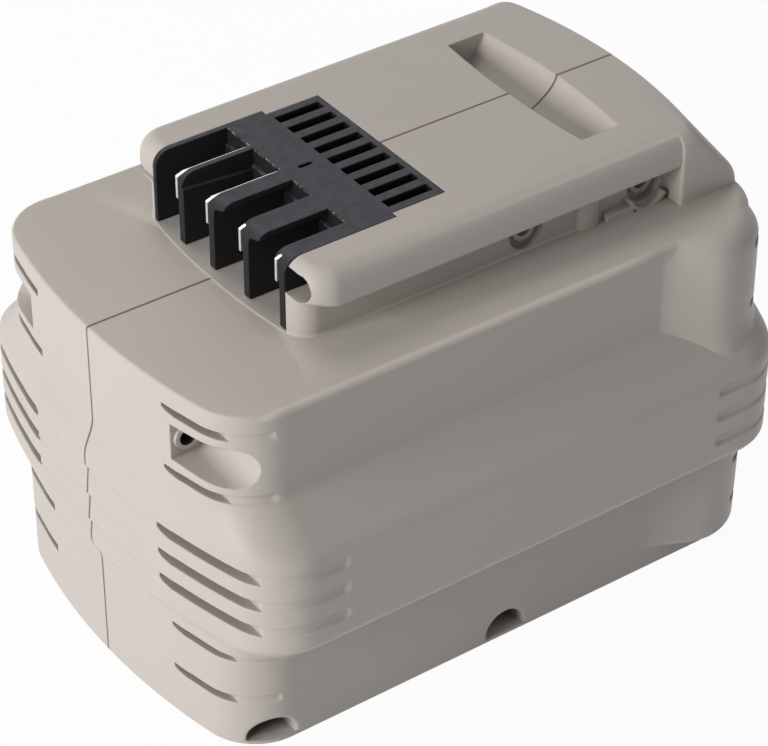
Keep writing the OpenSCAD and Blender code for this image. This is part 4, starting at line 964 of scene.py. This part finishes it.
def pale_floor():
    """Wide pale floor just under the pack. The camera and mirrors see it mostly as plain white."""
    reach, low, top, white_share = 3000, -6, -0.02, 0.95
    ground = put_in_scene("floor", box((-reach, -reach, low), (reach, reach, top)))
    made, w, shader = material("floor_white", base_color=(0.86, 0.86, 0.86, 1), roughness=0.9)
    mix = w.new("MixShader")
    w.feed(mix.inputs[0], w.product(seen_directly(w), white_share))
    w.feed(mix.inputs[1], shader.outputs[0])
    w.feed(mix.inputs[2], w.new("Emission").outputs[0])
    w.feed(w.nodes["Material Output"].inputs["Surface"], mix.outputs[0])
    ground.data.materials.append(made)


def studio_world(level):
    """World that lights the pack softly from all round, and shows the camera and mirrors plain white."""
    world = bpy.data.worlds.new("studio")
    bpy.context.scene.world = world
    world.use_nodes = True
    w = Wiring(world.node_tree)
    seen = seen_directly(w)
    sky = w.nodes["Background"].inputs
    w.feed(sky["Color"], w.blend(seen, (0.97, 0.985, 1.0, 1.0), (1.0, 1.0, 1.0, 1.0)))
    w.feed(sky["Strength"], w.ramp(seen, 0, 1, level, 1.0))


def soft_box(name, place, target, size, power, tint):
    """Square area light at a place, turned to a target, in metres."""
    lamp = bpy.data.lights.new(name, "AREA")
    lamp.size, lamp.energy, lamp.color = size, power, tint
    thing = bpy.data.objects.new(name, lamp)
    thing.location = place
    thing.rotation_euler = (Vector(target) - Vector(place)).to_track_quat("-Z", "Y").to_euler()
    bpy.context.scene.collection.objects.link(thing)


def photo_view(place, target, lens):
    """Camera at a place, turned to a target, in metres."""
    view = bpy.data.cameras.new("photo_view")
    view.lens, view.sensor_width = lens, 36.0
    view.clip_start, view.clip_end = 0.01, 20.0
    camera = bpy.data.objects.new("photo_view", view)
    camera.location = place
    camera.rotation_euler = (Vector(target) - Vector(place)).to_track_quat("-Z", "Y").to_euler()
    bpy.context.scene.collection.objects.link(camera)
    bpy.context.scene.camera = camera


pale_floor()
studio_world(level=0.16)
soft_box("key", place=(0.06, -1.0, 0.4), target=(0, 0, 0.04), size=0.5, power=9.1, tint=(1.0, 0.98, 0.955))
soft_box("top", place=(-0.4, 0.0, 0.85), target=(0, 0, 0.05), size=0.5, power=2.05, tint=(1.0, 0.95, 0.9))
soft_box("side", place=(0.5, 0.25, 0.9), target=(0, 0, 0.05), size=0.5, power=0.5, tint=(1.0, 0.97, 0.94))
photo_view(place=(0.385168, -0.273368, 0.387733), target=(0.011379, -0.007907, 0.047025), lens=147.59)
bpy.context.scene.view_settings.view_transform = "Standard"
